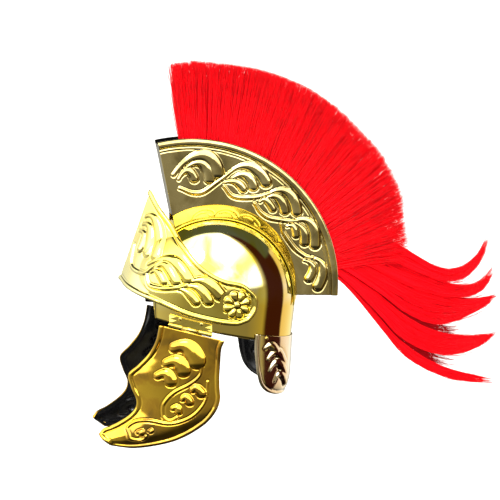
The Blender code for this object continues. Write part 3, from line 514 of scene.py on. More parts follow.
def crest_place(along, height, x):
    """Points of the crest box."""
    inner = arc_point(CREST_INNER_CENTRE, CREST_INNER_RADIUS, CREST_INNER_ANGLES, along)
    foot = clear_of_bowl(point(CREST_WIDTH / 2 - PLATE, *inner), SEAT)
    outer = arc_point(CREST_OUTER_CENTRE, CREST_OUTER_RADIUS, CREST_OUTER_ANGLES, along)
    return point(x, mix(foot[..., 1], outer[0], height), mix(foot[..., 2], outer[1], height))


def crest_surface(along, height):
    """Outer face of the left crest plate without its rim."""
    return crest_place(along, height, CREST_WIDTH / 2)


def foot_surface(along, height):
    """The left strip that slopes from the crest plate's foot down to the dome."""
    angle = np.radians(mix(*CREST_INNER_ANGLES, along))
    level = math.sqrt(1.0 - (FOOT_HALF_WIDTH / (BOWL_WIDTH / 2)) ** 2)
    on_dome = point(FOOT_HALF_WIDTH, BOWL_LENGTH / 2 * level * np.sin(angle),
                    bowl_centre() + DOME_HEIGHT * level * np.cos(angle))
    at_plate = crest_place(along, FOOT_LAP, CREST_WIDTH / 2 + GAP + PLATE)
    return clear_of_bowl(mix(on_dome, at_plate, np.broadcast_to(height, np.shape(angle))[..., None]))


def neck_surface(across, down):
    """Outer face of the neck guard. across runs from the wearer's right, -1, to the left, 1."""
    drop, half_angle, tuck = along_rows(NECK_ROWS, np.broadcast_to(down, np.shape(across)))
    angle = math.radians(NECK_HALF_ANGLE) * half_angle * across
    out = SEAT + PLATE
    y = (BOWL_LENGTH / 2 + out) * (1.0 - RIM_TAPER) * np.cos(angle)
    z = rim_height(y) + NECK_OVERLAP - drop * (NECK_DROP + NECK_OVERLAP)
    share = wall_share(z)
    back = (BOWL_LENGTH / 2 + out) * share * np.cos(angle) - tuck * NECK_TUCK
    return point((BOWL_WIDTH / 2 + out) * share * np.sin(angle), back, z)


def hinge_frame():
    """The left hinge: its middle, then unit vectors along the axis and outward."""
    middle = np.array([AXIS_OUT, AXIS_Y, rim_height(AXIS_Y) - AXIS_BELOW_RIM])
    along = unit(np.array([AXIS_TOE_IN, 1.0, -RIM_SLOPE]))
    outward = unit(np.array([1.0, -AXIS_TOE_IN, 0.0]))
    return middle, along, outward


def cheek_surface(across, down):
    """Outer face of the left cheek guard. across runs from its rear edge to its front edge."""
    middle, axis, outward = hinge_frame()
    down = np.broadcast_to(down, np.shape(across))
    rear_along, rear_down, front_along, front_down = along_rows(CHEEK_ROWS, down)
    fall = np.array([0.0, 0.0, -CHEEK_HEIGHT])
    rear = middle + axis * (rear_along * CHEEK_WIDTH)[..., None] + fall * rear_down[..., None]
    front = middle + axis * (front_along * CHEEK_WIDTH)[..., None] + fall * front_down[..., None]
    bow = CHEEK_LEAN - CHEEK_WRAP * (2 * across - 1.0) ** 2 + CHEEK_WRAP / 3
    out = PLATE / 2 + bow * eased(np.clip(down / CHEEK_FLAT_SHARE, 0.0, 1.0))
    return mix(rear, front, np.asarray(across)[..., None]) + outward * out[..., None]


# Relief

def path_distance(points, path):
    """Distance of each point to a path and the share along it of the nearest place."""
    best = np.full(len(points), 1e9)
    where = np.zeros(len(points))
    for index in range(len(path) - 1):
        start, end = path[index], path[index + 1]
        line = end - start
        t = np.clip((points - start) @ line / max(line @ line, 1e-16), 0.0, 1.0)
        gap = np.linalg.norm(points - start - t[:, None] * line, axis=1)
        nearer = gap < best
        best = np.where(nearer, gap, best)
        where = np.where(nearer, (index + t) / (len(path) - 1), where)
    return best, where


def arc_places(root, bend, head, samples=26):
    """A parabola through three places of a plate."""
    root, bend, head = np.array(root), np.array(bend), np.array(head)
    pull = 2 * bend - (root + head) / 2
    t = even(samples)[:, None]
    return (1 - t) ** 2 * root + 2 * t * (1 - t) * pull + t ** 2 * head


def stroke(surface, places, width, height, comma, samples=44):
    """An embossed stroke along a path on a surface. comma is 0, or its root's share of its width."""
    if len(places) == 3:
        a, b = arc_places(*places).T
    else:
        rows = [(i / (len(places) - 1), *place) for i, place in enumerate(places)]
        a, b = along_rows(rows, even(samples))
    return surface(a, b), width, height, comma


def groove(beyond):
    """Depth of the fine groove beside a raised form, at a distance beyond its edge."""
    return -GROOVE_DEPTH * np.sin(math.pi * np.clip(beyond / GROOVE_WIDTH, 0.0, 1.0))


def add_strokes(points, lift, strokes):
    """Raises lift wherever a stroke passes, and sinks a fine groove beside each raised one."""
    for path, width, height, comma in strokes:
        low, high = path.min(0) - width * STROKE_MARGIN, path.max(0) + width * STROKE_MARGIN
        near = np.where(((points > low) & (points < high)).all(axis=1))[0]
        if not len(near):
            continue
        gap, share = path_distance(points[near], path)
        if comma:
            grown = np.minimum(1.0, share / LEAF_FULL_AT)
            half = width / 2 * mix(comma, 1.0, eased(grown))
            tall = height * mix(0.2 + 0.8 * comma, 1.0, grown)
        else:
            half = width / 2 * mix(STEM_END_SHARE, 1.0, np.sin(math.pi * np.clip(share, 0.08, 0.92)))
            tall = height * np.ones_like(share)
        reach = gap / half
        rise = tall * np.maximum(0.0, 1.0 - reach ** 2) ** STROKE_POWER
        before = lift[near]
        if height < 0:
            lift[near] = np.minimum(before, rise)
            continue
        sunk = np.where(before <= 0.0, np.minimum(before, groove(gap - half)), before)
        lift[near] = np.where(rise > 0.0, np.maximum(before, rise), sunk)


def add_rosette(points, lift, surface, place):
    """Eight petals round a boss."""
    a, b = np.array(place[0]), np.array(place[1])
    step = 1e-3
    first = unit(surface(a + step, b) - surface(a - step, b))
    normal = surface_normal(surface, a, b)
    second = np.cross(normal, first)
    away = points - surface(a, b)
    x, y = away @ first, away @ second
    radius, turn = np.hypot(x, y), np.arctan2(y, x)
    near = (radius < ROSETTE_RADIUS * 1.4) & (np.abs(away @ normal) < ROSETTE_RADIUS)
    sector = 2 * math.pi / PETALS
    off = np.abs((turn % sector) - sector / 2)
    share = radius / (ROSETTE_RADIUS * PETAL_REACH)
    taper = np.where(share > PETAL_TIP, rounded((share - PETAL_TIP) / (1.0 - PETAL_TIP)), 1.0)
    half = radius * math.sin(sector / 2) * taper * 0.95
    across = radius * np.sin(off) / np.maximum(half, 1e-9)
    start = np.clip((share - PETAL_START) / 0.3, 0.0, 1.0) ** 0.5
    petal = RELIEF * 0.8 * rounded(across) * taper * start
    boss = RELIEF * 0.9 * rounded(share / BOSS_SHARE)
    edge = ROSETTE_RADIUS * PETAL_REACH * mix(PETAL_TIP, 1.0, rounded(off / sector * 2))
    petals = np.where((across < 1.0) & (share < 1.0), petal, groove(radius - edge))
    rise = np.where(share < BOSS_SHARE, boss, petals)
    lift[near] = rise[near]


def add_bead(points, lift, border, offset, radius, height):
    """A rolled rim that follows a border at an offset."""
    gap, _ = path_distance(points, border)
    inside = np.maximum(0.0, 1.0 - ((gap - offset) / radius) ** 2)
    sunk = np.where(lift <= 0.0, lift + groove(gap - offset - radius), lift)
    lift[:] = np.where(inside > 0.0, np.maximum(lift, height * np.sqrt(inside)), sunk)


def leaf_strokes(surface, leaves, stems, side=1.0, stem_width=STEM_WIDTH * 1.3,
                 stem_height=RELIEF * 0.62, root_share=LEAF_ROOT):
    """Strokes for a plate's leaves and stems."""
    found = []
    for path in stems:
        places = [(side * a, b) for a, b in path]
        found.append(stroke(surface, places, stem_width, stem_height, 0.0))
    for root, bend, head, width in reversed(leaves):
        places = [(side * a, b) for a, b in (root, bend, head)]
        full = width * LEAF_WIDTH * LEAF_FULLNESS
        tall = RELIEF * (LEAF_LEAST_HEIGHT + LEAF_ADDED_HEIGHT * min(1.0, width))
        found.append(stroke(surface, places, full, tall, root_share))
    return found


# Meshes

def add_object(name, data):
    """A new object in the scene."""
    made = bpy.data.objects.new(name, data)
    bpy.context.scene.collection.objects.link(made)
    return made


def mesh_object(name, points, faces, materials, indices, mirror=False):
    """A smooth mesh object from arrays, one material index for each face."""
    if mirror:
        points, faces = points * np.array([-1.0, 1.0, 1.0]), faces[:, ::-1]
    data = bpy.data.meshes.new(name)
    data.from_pydata(points.tolist(), [], faces.tolist())
    for each in materials:
        data.materials.append(each)
    data.polygons.foreach_set("material_index", np.asarray(indices, np.int32))
    data.polygons.foreach_set("use_smooth", np.ones(len(faces), bool))
    data.update()
    return add_object(name, data)


def grid_faces(rows, columns, start=0, closed=False):
    """Quads of a grid of points."""
    r, c = np.meshgrid(np.arange(rows - 1), np.arange(columns if closed else columns - 1), indexing="ij")
    following = (c + 1) % columns
    corners = (r * columns + c, r * columns + following, (r + 1) * columns + following, (r + 1) * columns + c)
    return np.stack([k.ravel() + start for k in corners], axis=1)


def plate(name, surface, a_values, b_values, strokes, beads, outer, inner, mirror=False, carry=1.0,
          rosettes=(), coarse=2):
    """A sheet metal piece. beads are (border, offset, radius, height).

    carry is the share of the relief that shows on the inner face. The inner face takes every coarse-th
    point, so the counts of steps are multiples of coarse.
    """
    a, b = np.meshgrid(a_values, b_values)
    base = surface(a, b)
    normal = surface_normal(surface, a, b)
    flat = base.reshape(-1, 3)
    lift = np.zeros(len(flat))
    add_strokes(flat, lift, [row for row in strokes if row[2] > 0])
    for place in rosettes:
        add_rosette(flat, lift, surface, place)
    for border, offset, radius, height in beads:
        add_bead(flat, lift, border, offset, radius, height)
    add_strokes(flat, lift, [row for row in strokes if row[2] < 0])
    lift = lift.reshape(a.shape)[..., None]
    face = base + normal * lift
    back = base + normal * (lift * carry - PLATE)
    rows, columns = a.shape
    index = np.arange(rows * columns).reshape(rows, columns)
    ring = np.concatenate([index[0], index[1:, -1], index[-1, -2::-1], index[-2:0:-1, 0]])
    hem = back.reshape(-1, 3)[ring]
    hem_ring = np.arange(len(ring)) + rows * columns
    rim_faces = np.stack([np.roll(ring, -1), ring, hem_ring, np.roll(hem_ring, -1)], axis=1)
    behind = back[::coarse, ::coarse]
    start = rows * columns + len(ring)
    back_faces = grid_faces(behind.shape[0], behind.shape[1], start)[:, ::-1]
    front_faces = grid_faces(rows, columns)
    points = np.concatenate([face.reshape(-1, 3), hem, behind.reshape(-1, 3)])
    faces = np.concatenate([front_faces, back_faces, rim_faces])
    kinds = np.concatenate([np.zeros(len(front_faces)), np.ones(len(back_faces)), np.zeros(len(rim_faces))])
    return mesh_object(name, points, faces, [outer, inner], kinds, mirror)


def knuckle(name, material, mirror):
    """The middle knuckle of a hinge, bored for its pin, with the web that ties it to the guard below."""
    middle, axis, outward = hinge_frame()
    up = np.cross(outward, axis)
    half = KNUCKLE_SHARE * HINGE_LENGTH - GAP
    bore = PIN_RADIUS + PIN_CLEARANCE
    turn = np.linspace(0.0, 2 * math.pi, KNUCKLE_SIDES, endpoint=False)
    ray = outward * np.cos(turn)[:, None] + up * np.sin(turn)[:, None]
    rings = []
    for along, radius in ((-half, bore), (-half, KNUCKLE_RADIUS), (half, KNUCKLE_RADIUS), (half, bore)):
        rings.append(middle + axis * along + ray * radius)
    points = np.concatenate(rings)
    faces = grid_faces(len(rings), KNUCKLE_SIDES, 0, True)
    inner = np.arange(KNUCKLE_SIDES)
    following = (inner + 1) % KNUCKLE_SIDES
    last = (len(rings) - 1) * KNUCKLE_SIDES
    faces = np.concatenate([faces, np.stack([last + inner, last + following, following, inner], axis=1)])
    corners = []
    for along in (-half, half):
        for rise in (-KNUCKLE_RADIUS * WEB_TOP, -KNUCKLE_RADIUS - WEB_DROP):
            for out in (-PLATE * WEB_HALF, PLATE * WEB_HALF):
                corners.append(middle + axis * along + up * rise + outward * out)
    box = np.array([(0, 1, 3, 2), (4, 6, 7, 5), (0, 2, 6, 4), (1, 5, 7, 3), (0, 4, 5, 1), (2, 3, 7, 6)])
    faces = np.concatenate([faces, box + len(points)])
    points = np.concatenate([points, corners])
    return mesh_object(name, points, faces, [material], np.zeros(len(faces)), mirror)


# Materials

def new_material(name):
    """A node material and its shader."""
    made = bpy.data.materials.new(name)
    made.use_nodes = True
    return made, made.node_tree, made.node_tree.nodes["Principled BSDF"]


def set_inputs(node, numbers):
    """Sets a node's inputs by name."""
    for name, number in numbers.items():
        node.inputs[name].default_value = number


def feed(tree, socket, value):
    """Links a value to a socket, or sets a number or a colour."""
    if isinstance(value, bpy.types.NodeSocket):
        tree.links.new(value, socket)
    else:
        socket.default_value = (*value, 1.0) if isinstance(value, tuple) else value


def axes(tree, kind):
    """The three numbers of a texture coordinate."""
    place = tree.nodes.new("ShaderNodeTexCoord")
    split = tree.nodes.new("ShaderNodeSeparateXYZ")
    tree.links.new(place.outputs[kind], split.inputs["Vector"])
    return split.outputs


def noise(tree, scale, detail, distortion=0.0):
    """A noise texture in object space."""
    place = tree.nodes.new("ShaderNodeTexCoord")
    made = tree.nodes.new("ShaderNodeTexNoise")
    set_inputs(made, {"Scale": scale, "Detail": detail, "Distortion": distortion})
    tree.links.new(place.outputs["Object"], made.inputs["Vector"])
    return made.outputs["Fac"]


def ramp(tree, value, stops):
    """Colours between stops of (place, colour)."""
    made = tree.nodes.new("ShaderNodeValToRGB")
    tree.links.new(value, made.inputs["Fac"])
    elements = made.color_ramp.elements
    while len(elements) < len(stops):
        elements.new(0.5)
    for element, (place, colour) in zip(elements, stops):
        element.position = place
        element.color = (*colour, 1.0)
    return made.outputs["Color"]


def stretched(tree, value, start, end, low=0.0, high=1.0, kind="SMOOTHSTEP"):
    """A value stretched from start..end to low..high."""
    made = tree.nodes.new("ShaderNodeMapRange")
    made.interpolation_type = kind
    set_inputs(made, {"From Min": start, "From Max": end, "To Min": low, "To Max": high})
    tree.links.new(value, made.inputs["Value"])
    return made.outputs["Result"]


def uneven(tree, shader, scale, detail, low, high):
    """Roughness that varies. The noise is mostly between 0.3 and 0.7."""
    rough = stretched(tree, noise(tree, scale, detail), 0.3, 0.7, low, high, "LINEAR")
    tree.links.new(rough, shader.inputs["Roughness"])


def mottled(name, socket, scale, detail, stops):
    """A material with a faint mottle in one of its colours, and its shader."""
    made, tree, shader = new_material(name)
    tree.links.new(ramp(tree, noise(tree, scale, detail), stops), shader.inputs[socket])
    return made, shader


def bump(tree, shader, value, strength, distance):
    """Fine unevenness of a surface."""
    made = tree.nodes.new("ShaderNodeBump")
    set_inputs(made, {"Strength": strength, "Distance": distance})
    tree.links.new(value, made.inputs["Height"])
    tree.links.new(made.outputs["Normal"], shader.inputs["Normal"])
    return made


def brass(kind):
    """Polished brass with patches of tarnish, and on the bowl and brow a painted reflection colour along an
    axis.
    """
    bright, dull, dark, smooth, rough = BRASS[kind]
    made, tree, shader = new_material(kind + "_brass")
    patches = noise(tree, 22.0, 5.0, 0.6)
    colour = ramp(tree, patches, [(0.34, dark), (0.46, dull), (0.60, bright)])
    # Painted reflection: the colour shifts along an axis, deeper gold low on the bowl and paler at the brow's
    # front.
    if kind in PAINTED_REFLECTION_TINTS:
        axis, start, end, shade = PAINTED_REFLECTION_TINTS[kind]
        reflection_share = stretched(tree, axes(tree, "Object")[axis], start, end)
        colour = blend_colours(tree, reflection_share, colour, shade)
    tree.links.new(colour, shader.inputs["Base Color"])
    uneven(tree, shader, 60.0, 4.0, smooth, rough)
    shader.inputs["Metallic"].default_value = 1.0
    waves = bump(tree, shader, noise(tree, 30.0, 2.0), OTHER_WAVES.get(kind, USUAL_WAVES), 1.5 * MM)
    if kind in FLAT_FINISHES:
        geometry = tree.nodes.new("ShaderNodeNewGeometry")
        tree.links.new(geometry.outputs["True Normal"], waves.inputs["Normal"])
    return made


def black_lacquer():
    """The gloss black inside faces."""
    stops = [(0.3, (0.003, 0.003, 0.003)), (0.7, (0.006, 0.006, 0.007))]
    made, shader = mottled("black_lacquer", "Base Color", 40.0, 3.0, stops)
    uneven(made.node_tree, shader, 90.0, 3.0, 0.14, 0.20)
    shader.inputs["Specular IOR Level"].default_value = 0.35
    return made


def bristle(name, colour):
    """One shade of the dyed bristles."""
    deep = tuple(part * 0.88 for part in colour)
    made, shader = mottled(name, "Base Color", 60.0, 2.0, [(0.35, deep), (0.6, colour)])
    set_inputs(shader, {"Roughness": 0.55, "Specular IOR Level": 0.07})
    return made


# Plume

def polar_place(angle, reach):
    """Points of the plume in the middle plane, as (y, z)."""
    radius = CREST_OUTER_RADIUS + reach * PLUME_HEIGHT
    turn = np.radians(angle)
    return CREST_OUTER_CENTRE[0] + radius * np.sin(turn), CREST_OUTER_CENTRE[1] + radius * np.cos(turn)


def strands(name, lines, radius, materials, shades):
    """Bristles: three sided tapering tubes along lines, an array of (strand, step, xyz)."""
    count, steps, _ = lines.shape
    along = unit(np.gradient(lines, axis=1))
    side = unit(np.cross(along, np.array([1.0, 0.15, 0.1])))
    other = np.cross(along, side)
    thin = radius[:, None] * np.linspace(1.0, 0.2, steps)[None, :]
    rings = []
    for corner in range(3):
        turn = 2 * math.pi * corner / 3
        rings.append(lines + (side * math.cos(turn) + other * math.sin(turn)) * thin[..., None])
    points = np.stack(rings, axis=2).reshape(-1, 3)
    one = grid_faces(steps, 3, 0, True)
    faces = (one[None, :, :] + (np.arange(count) * steps * 3)[:, None, None]).reshape(-1, 4)
    kinds = np.repeat(shades, len(one))
    return mesh_object(name, points, faces, materials, kinds)


def fan_lines(rng, count, low_angle, high_angle):
    """Lines of the bristles in the plume's fan."""
    clump = rng.integers(0, FAN_CLUMPS, count)
    clump_angle = rng.uniform(-0.5, 0.5, FAN_CLUMPS)[clump]
    clump_reach = rng.uniform(-0.012, 0.012, FAN_CLUMPS)[clump]
    root = mix(low_angle, high_angle, (clump + rng.uniform(0, 1, count)) / FAN_CLUMPS)
    tip_angle, tip_reach = along_rows(FAN_ROWS, root)
    tip_angle = tip_angle + clump_angle + rng.normal(0, 0.5, count)
    tip_reach = tip_reach + clump_reach - np.abs(rng.normal(0, 0.03, count)) - 0.01
    x_root = rng.uniform(-1.0, 1.0, count) * PLUME_THICKNESS * 0.48
    x_tip = x_root * 1.22 + rng.normal(0, 1.6 * MM, count)
    steps = even(5)
    angle = root[:, None] + (tip_angle - root)[:, None] * steps ** 0.7
    angle = angle + rng.normal(0, 0.35, count)[:, None] * np.sin(math.pi * steps)
    reach = mix(-0.12, tip_reach[:, None], steps)
    y, z = polar_place(angle, reach)
    return point(mix(x_root[:, None], x_tip[:, None], steps), y, z)


def through_places(places, t):
    """A smooth curve through evenly shared places, an array of (place, strand)."""
    last = len(places) - 1
    index = np.clip(np.floor(t * last).astype(int), 0, last - 1)
    u = t * last - index
    strand = np.arange(places.shape[1])[:, None]
    start, end = places[index, strand], places[index + 1, strand]
    before = np.where(index > 0, places[np.maximum(index - 1, 0), strand], 2 * start - end)
    after = np.where(index < last - 1, places[np.minimum(index + 2, last), strand], 2 * end - start)
    return 0.5 * (2 * start + (end - before) * u + (2 * before - 5 * start + 4 * end - after) * u ** 2
                  + (3 * start - before - 3 * end + after) * u ** 3)


def tail_lines(rng, count, locks, shaded):
    """Lines of the bristles in the plume's tail: they start side by side and gather to ragged points."""
    guides = np.array(TAIL_GUIDES, float) * MM
    first, last, middle, wide, part = np.array(locks).T
    lock = rng.choice(len(locks), count, p=part / part.sum())
    wisp = rng.integers(0, TAIL_WISPS, count)
    wisp_share = (wisp + 0.5) / TAIL_WISPS
    own_share = (wisp + rng.uniform(0, 1, count)) / TAIL_WISPS
    wisp_end = rng.uniform(0.90, 1.03, (len(locks), TAIL_WISPS))[lock, wisp]
    loose = rng.uniform(0, 1, count) < 0.10
    end = wisp_end * rng.uniform(0.60, 1.0, count) ** 0.5
    end = np.where(loose, rng.uniform(0.5, 0.92, count), end)
    if shaded:
        end = end * SHADED_LENGTH
    t = end[:, None] * even(8)
    gathered = eased(np.clip((t - TAIL_GATHERS_AT) / (1.0 - TAIL_GATHERS_AT), 0.0, 1.0))
    at_root = mix(first[lock], last[lock], own_share)
    at_tip = middle[lock] + wide[lock] * (wisp_share - 0.5) * 2 + (own_share - wisp_share) * 0.5
    at_tip = np.where(loose, mix(at_root, at_tip, 0.4), at_tip)
    line = np.clip(mix(at_root[:, None], at_tip[:, None], gathered), 0.0, len(guides) - 1.0)
    index = np.clip(np.floor(line).astype(int), 0, len(guides) - 2)
    u = line - index
    y, z = 0.0, 0.0
    for offset, weight in ((0, 1.0 - u), (1, u)):
        for guide in range(len(guides) - 1):
            chosen = (index == guide) * weight
            track = np.repeat(guides[guide + offset][:, None, :], count, axis=1)
            y = y + chosen * through_places(track[..., 0], t)
            z = z + chosen * through_places(track[..., 1], t)
    dy, dz = np.gradient(y, axis=1), np.gradient(z, axis=1)
    length = np.hypot(dy, dz)
    sway = rng.normal(0, 0.8 * MM, count)[:, None]
    phase = rng.uniform(0, 6, count)[:, None]
    wave = sway * np.sin(2.2 * math.pi * t + phase)
    y = y - dz / length * wave
    z = z + dy / length * wave
    depth = (wisp_share - 0.5) * 0.5 + rng.uniform(-0.7, 0.7, count)
    if shaded:
        depth = depth * 0.35
    x = depth[:, None] * PLUME_THICKNESS * 0.46 * (1.0 - 0.8 * t)
    return point(x, y, z)


def build_plume(rng, materials):
    """The plume in four pieces."""
    made = []
    front, middle, back = FAN_ANGLES
    for name, lines, chances in (
        ("plume_fan_front", fan_lines(rng, FAN_BRISTLES, front, middle), FAN_CHANCES),
        ("plume_fan_back", fan_lines(rng, FAN_BRISTLES, middle, back), FAN_CHANCES),
        ("plume_tail", tail_lines(rng, TAIL_BRISTLES, TAIL_LOCKS, False), TAIL_CHANCES),
        ("plume_tail_shaded", tail_lines(rng, SHADED_BRISTLES, TAIL_SHADED, True), SHADED_CHANCES),
    ):
        count = len(lines)
        shades = rng.choice(len(materials), count, p=chances)
        made.append(strands(name, lines, rng.uniform(0.5, 0.8, count) * MM, materials, shades))
    return made


# Studio

def add_floor():
    """A wide pale floor, well below the helmet. The metal mirrors the studio and not the floor."""
    edge, level = 60.0, -0.95
    corners = point(np.array([-edge, edge, edge, -edge]), np.array([-edge, -edge, edge, edge]), level)
    stops = [(0.3, (0.90, 0.90, 0.90)), (0.7, (0.92, 0.92, 0.92))]
    made, shader = mottled("floor_paper", "Base Color", 3.0, 2.0, stops)
    shader.inputs["Roughness"].default_value = 0.9
    floor = mesh_object("floor", corners, np.array([[0, 1, 2, 3]]), [made], [0])
    floor.visible_glossy = False


def add_backdrop():
    """A plain white wall round the floor. Only the camera sees it: it hides the studio's boxes."""
    sides, reach = 64, 30.0
    turn = np.linspace(0.0, 2 * math.pi, sides, endpoint=False)
    rings = []
    for radius, level in ((reach, -20.0), (reach, 20.0), (1.0, 30.0)):
        rings.append(point(radius * np.cos(turn), radius * np.sin(turn), level))
    stops = [(0.3, (0.97, 0.97, 0.97)), (0.7, (1.0, 1.0, 1.0))]
    made, shader = mottled("backdrop_paper", "Emission Color", 3.0, 2.0, stops)
    shader.inputs["Emission Strength"].default_value = 1.0
    faces = grid_faces(len(rings), sides, 0, True)
    wall = mesh_object("backdrop", np.concatenate(rings), faces, [made], np.zeros(len(faces)))
    for kind in ("glossy", "diffuse", "transmission", "volume_scatter", "shadow"):
        setattr(wall, "visible_" + kind, False)


def calculate(tree, operation, *numbers):
    """A Math node's result."""
    made = tree.nodes.new("ShaderNodeMath")
    made.operation = operation
    for socket, value in zip(made.inputs, numbers):
        feed(tree, socket, value)
    return made.outputs[0]


def blend_colours(tree, share, first, second):
    """A colour between two colours."""
    made = tree.nodes.new("ShaderNodeMix")
    made.data_type = "RGBA"
    tree.links.new(share, made.inputs["Factor"])
    feed(tree, made.inputs["A"], first)
    feed(tree, made.inputs["B"], second)
    return made.outputs["Result"]


def add_studio():
    """The light all round: a bright box beside the helmet, with darker bands round it."""
    world = bpy.data.worlds.new("studio")
    bpy.context.scene.world = world
    world.use_nodes = True
    tree = world.node_tree
    ray = axes(tree, "Generated")
    turn = calculate(tree, "ARCTAN2", ray["Y"], ray["X"])
    share = calculate(tree, "MULTIPLY_ADD", turn, 0.5 / math.pi, 0.5)
    height = calculate(tree, "ARCSINE", ray["Z"])

    def band(stops, dimming=1.0):
        return ramp(tree, share, [((angle + 180) / 360, tuple(part * dimming for part in colour))
                                  for angle, colour in stops])

    to_low = stretched(tree, height, *np.radians(DEEP_TO_LOW))
    to_middle = stretched(tree, height, *np.radians(LOW_TO_MIDDLE))
    colour = blend_colours(tree, to_low, band(STUDIO_LOW, STUDIO_DEEP), band(STUDIO_LOW))
    colour = blend_colours(tree, to_middle, colour, band(STUDIO_MIDDLE))
    ahead = calculate(tree, "MINIMUM", ray["Y"], 0.0)
    raised = calculate(tree, "MULTIPLY_ADD", ahead, ROOF_TIP, ray["Z"])
    overhead = stretched(tree, raised, *ROOF_EDGE)
    beyond = stretched(tree, ray["X"], *ROOF_SIDE)
    colour = blend_colours(tree, calculate(tree, "MULTIPLY", overhead, beyond), colour, STUDIO_FAR)
    back = tree.nodes["Background"]
    tree.links.new(colour, back.inputs["Color"])
    back.inputs["Strength"].default_value = STUDIO_STRENGTH


def add_lights():
    """The studio and one soft key light that gives the bristles form."""
    add_studio()
    key = bpy.data.lights.new("key", "SUN")
    key.energy = 1.5
    key.angle = math.radians(24.0)
    made = add_object("key", key)
    made.rotation_euler = Vector((0.72, -0.40, 0.85)).to_track_quat("Z", "Y").to_euler()
    bpy.context.scene.view_settings.view_transform = "Standard"


def add_camera():
    """The camera at the photograph's angle."""
    azimuth, elevation = math.radians(81.0), math.radians(9.0)
    distance, field, sensor = 3.0, 0.725, 36.0
    target = Vector((0.0, 0.0564, -0.0594))
    back = Vector((math.sin(azimuth) * math.cos(elevation), -math.cos(azimuth) * math.cos(elevation),
                   math.sin(elevation)))
    right = Vector((math.cos(azimuth), math.sin(azimuth), 0.0))
    up = back.cross(right)
    data = bpy.data.cameras.new("camera")
    data.sensor_width = sensor
    data.lens = sensor * distance / field
    data.clip_end = 200.0
    made = add_object("camera", data)
    place = Matrix.Translation(target + back * distance)
    made.matrix_world = place @ Matrix((right, up, back)).transposed().to_4x4()
    bpy.context.scene.camera = made


# Pieces

def edge_path(surface, places, samples=160):
    """A border of a surface as a path through (a, b) corners."""
    found = []
    for start, end in zip(places, places[1:]):
        a = np.linspace(start[0], end[0], samples)
        b = np.linspace(start[1], end[1], samples)
        found.append(surface(a, b))
    return np.concatenate(found)


def engraved_scrolls(surface):
    """Fine lines engraved on the crest's foot strips."""
    found = []
    for index in range(SCROLLS):
        start = SCROLL_START + SCROLL_STEP * index
        curl = [(start + a, b) for a, b in SCROLL_CURL]
        vein = [(start + a, b) for a, b in SCROLL_VEIN]
        found.append(stroke(surface, curl, 2.0 * MM, -0.7 * MM, 0.0, 50))
        found.append(stroke(surface, vein, 1.8 * MM, -0.6 * MM, 0.0))
    return found


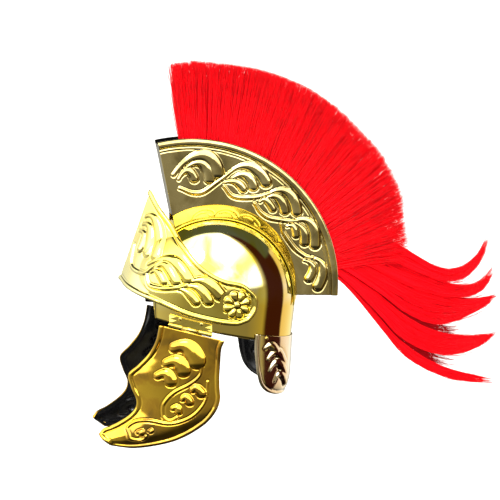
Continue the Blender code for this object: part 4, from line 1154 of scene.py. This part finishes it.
def build_plates(finish, inside):
    """All the sheet metal pieces that replace CAD solids."""
    fine = 1.0

    def steps(count):
        return even(4 * round(count * fine / 4))

    sides = np.linspace(FACE_HALF_ANGLE, 180, 46)
    front = np.linspace(-FACE_HALF_ANGLE * 0.93, FACE_HALF_ANGLE * 0.93, 31)
    turn = np.concatenate([-sides[::-1], front, sides])
    bowl = plate("bowl_shell", lambda a, b: bowl_surface(a, 1.0 - b), turn, np.linspace(0.0, 0.996, 45),
                 [], [], finish["bowl"], inside, coarse=1)
    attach(bowl, "root")
    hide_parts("bowl")

    strokes = leaf_strokes(brow_surface, BROW_LEAVES, BROW_STEMS)
    strokes += leaf_strokes(brow_surface, BROW_LEAVES, BROW_STEMS, -1.0)
    rosettes = [(side * ROSETTE_PLACE[0], ROSETTE_PLACE[1]) for side in (1.0, -1.0)]
    border = edge_path(brow_surface, [(-1, 0), (1, 0), (1, 1), (-1, 1), (-1, 0)])
    brow = plate("brow_sheet", brow_surface, 2 * steps(440) - 1, steps(100), strokes,
                 [(border, BROW_RIM, BROW_RIM, EDGE_BEAD)], finish["brow"], inside, rosettes=rosettes)
    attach(brow, "root")
    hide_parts("brow_plate")

    crest_strokes = leaf_strokes(crest_surface, CREST_LEAVES, CREST_STEMS)
    rim = edge_path(crest_surface, [(0, 1), (1, 1)], 240)
    foot_lines = engraved_scrolls(foot_surface)
    foot_edge = edge_path(foot_surface, [(0, 0), (1, 0)], 200)
    for side, mirror in (("left", False), ("right", True)):
        crest = plate("crest_sheet_" + side, crest_surface, steps(360), steps(112), crest_strokes,
                      [(rim, CREST_RIM, CREST_RIM, EDGE_BEAD * 1.2), (rim, *CREST_LINE)],
                      finish["crest"], inside, mirror, coarse=4)
        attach(crest, "root")
        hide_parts("crest_plate_" + side)
        foot = plate("foot_strip_" + side, foot_surface, steps(280), steps(26), foot_lines,
                     [(foot_edge, FOOT_RIM, FOOT_RIM, FOOT_RIM_HEIGHT)], finish["foot"], finish["foot"],
                     mirror, carry=0.0)
        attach(foot, "root")
        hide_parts("crest_foot_" + side)

    cheek_strokes = leaf_strokes(cheek_surface, CHEEK_LEAVES, CHEEK_STEMS, stem_width=4.2 * MM,
                                 stem_height=1.5 * MM, root_share=CHEEK_LEAF_ROOT)
    border = edge_path(cheek_surface, [(0, 0), (0, 1), (1, 1), (1, 0)])
    for side, mirror in (("left", False), ("right", True)):
        guard = plate("cheek_sheet_" + side, cheek_surface, steps(108), steps(208), cheek_strokes,
                      [(border, CHEEK_RIM, CHEEK_RIM, EDGE_BEAD)], finish["cheek"], inside, mirror)
        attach(guard, "cheek_" + side)
        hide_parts("cheek_guard_" + side)
        joint = knuckle("cheek_knuckle_" + side, finish["fitting"], mirror)
        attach(joint, "cheek_" + side)

    strokes = leaf_strokes(neck_surface, NECK_LEAVES, [])
    strokes += leaf_strokes(neck_surface, NECK_LEAVES, [], -1.0)
    border = edge_path(neck_surface, [(-1, 0), (-1, 1), (1, 1), (1, 0)])
    neck = plate("neck_sheet", neck_surface, 2 * steps(140) - 1, steps(80), strokes,
                 [(border, NECK_RIM, NECK_RIM, EDGE_BEAD * 0.8)], finish["neck"], inside)
    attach(neck, "root")
    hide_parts("neck_guard")


def main():
    """Dresses the frame, lights it and finishes."""
    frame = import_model()
    finish = {kind: brass(kind) for kind in BRASS}
    inside = black_lacquer()
    reds = [bristle(name, colour) for name, colour in BRISTLE_COLOURS.items()]
    for name, node in frame["nodes"].items():
        kind = next((kind for kind in FLAT_FINISHES if kind in name), "fitting")
        node.data.materials.clear()
        node.data.materials.append(finish[kind])
    build_plates(finish, inside)
    rng = np.random.default_rng(SEED)
    for index, piece in enumerate(build_plume(rng, reds)):
        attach(piece, "root")
        piece.visible_glossy = False
        if index == 0:
            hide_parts("plume")
    add_floor()
    add_backdrop()
    add_lights()
    add_camera()


main()
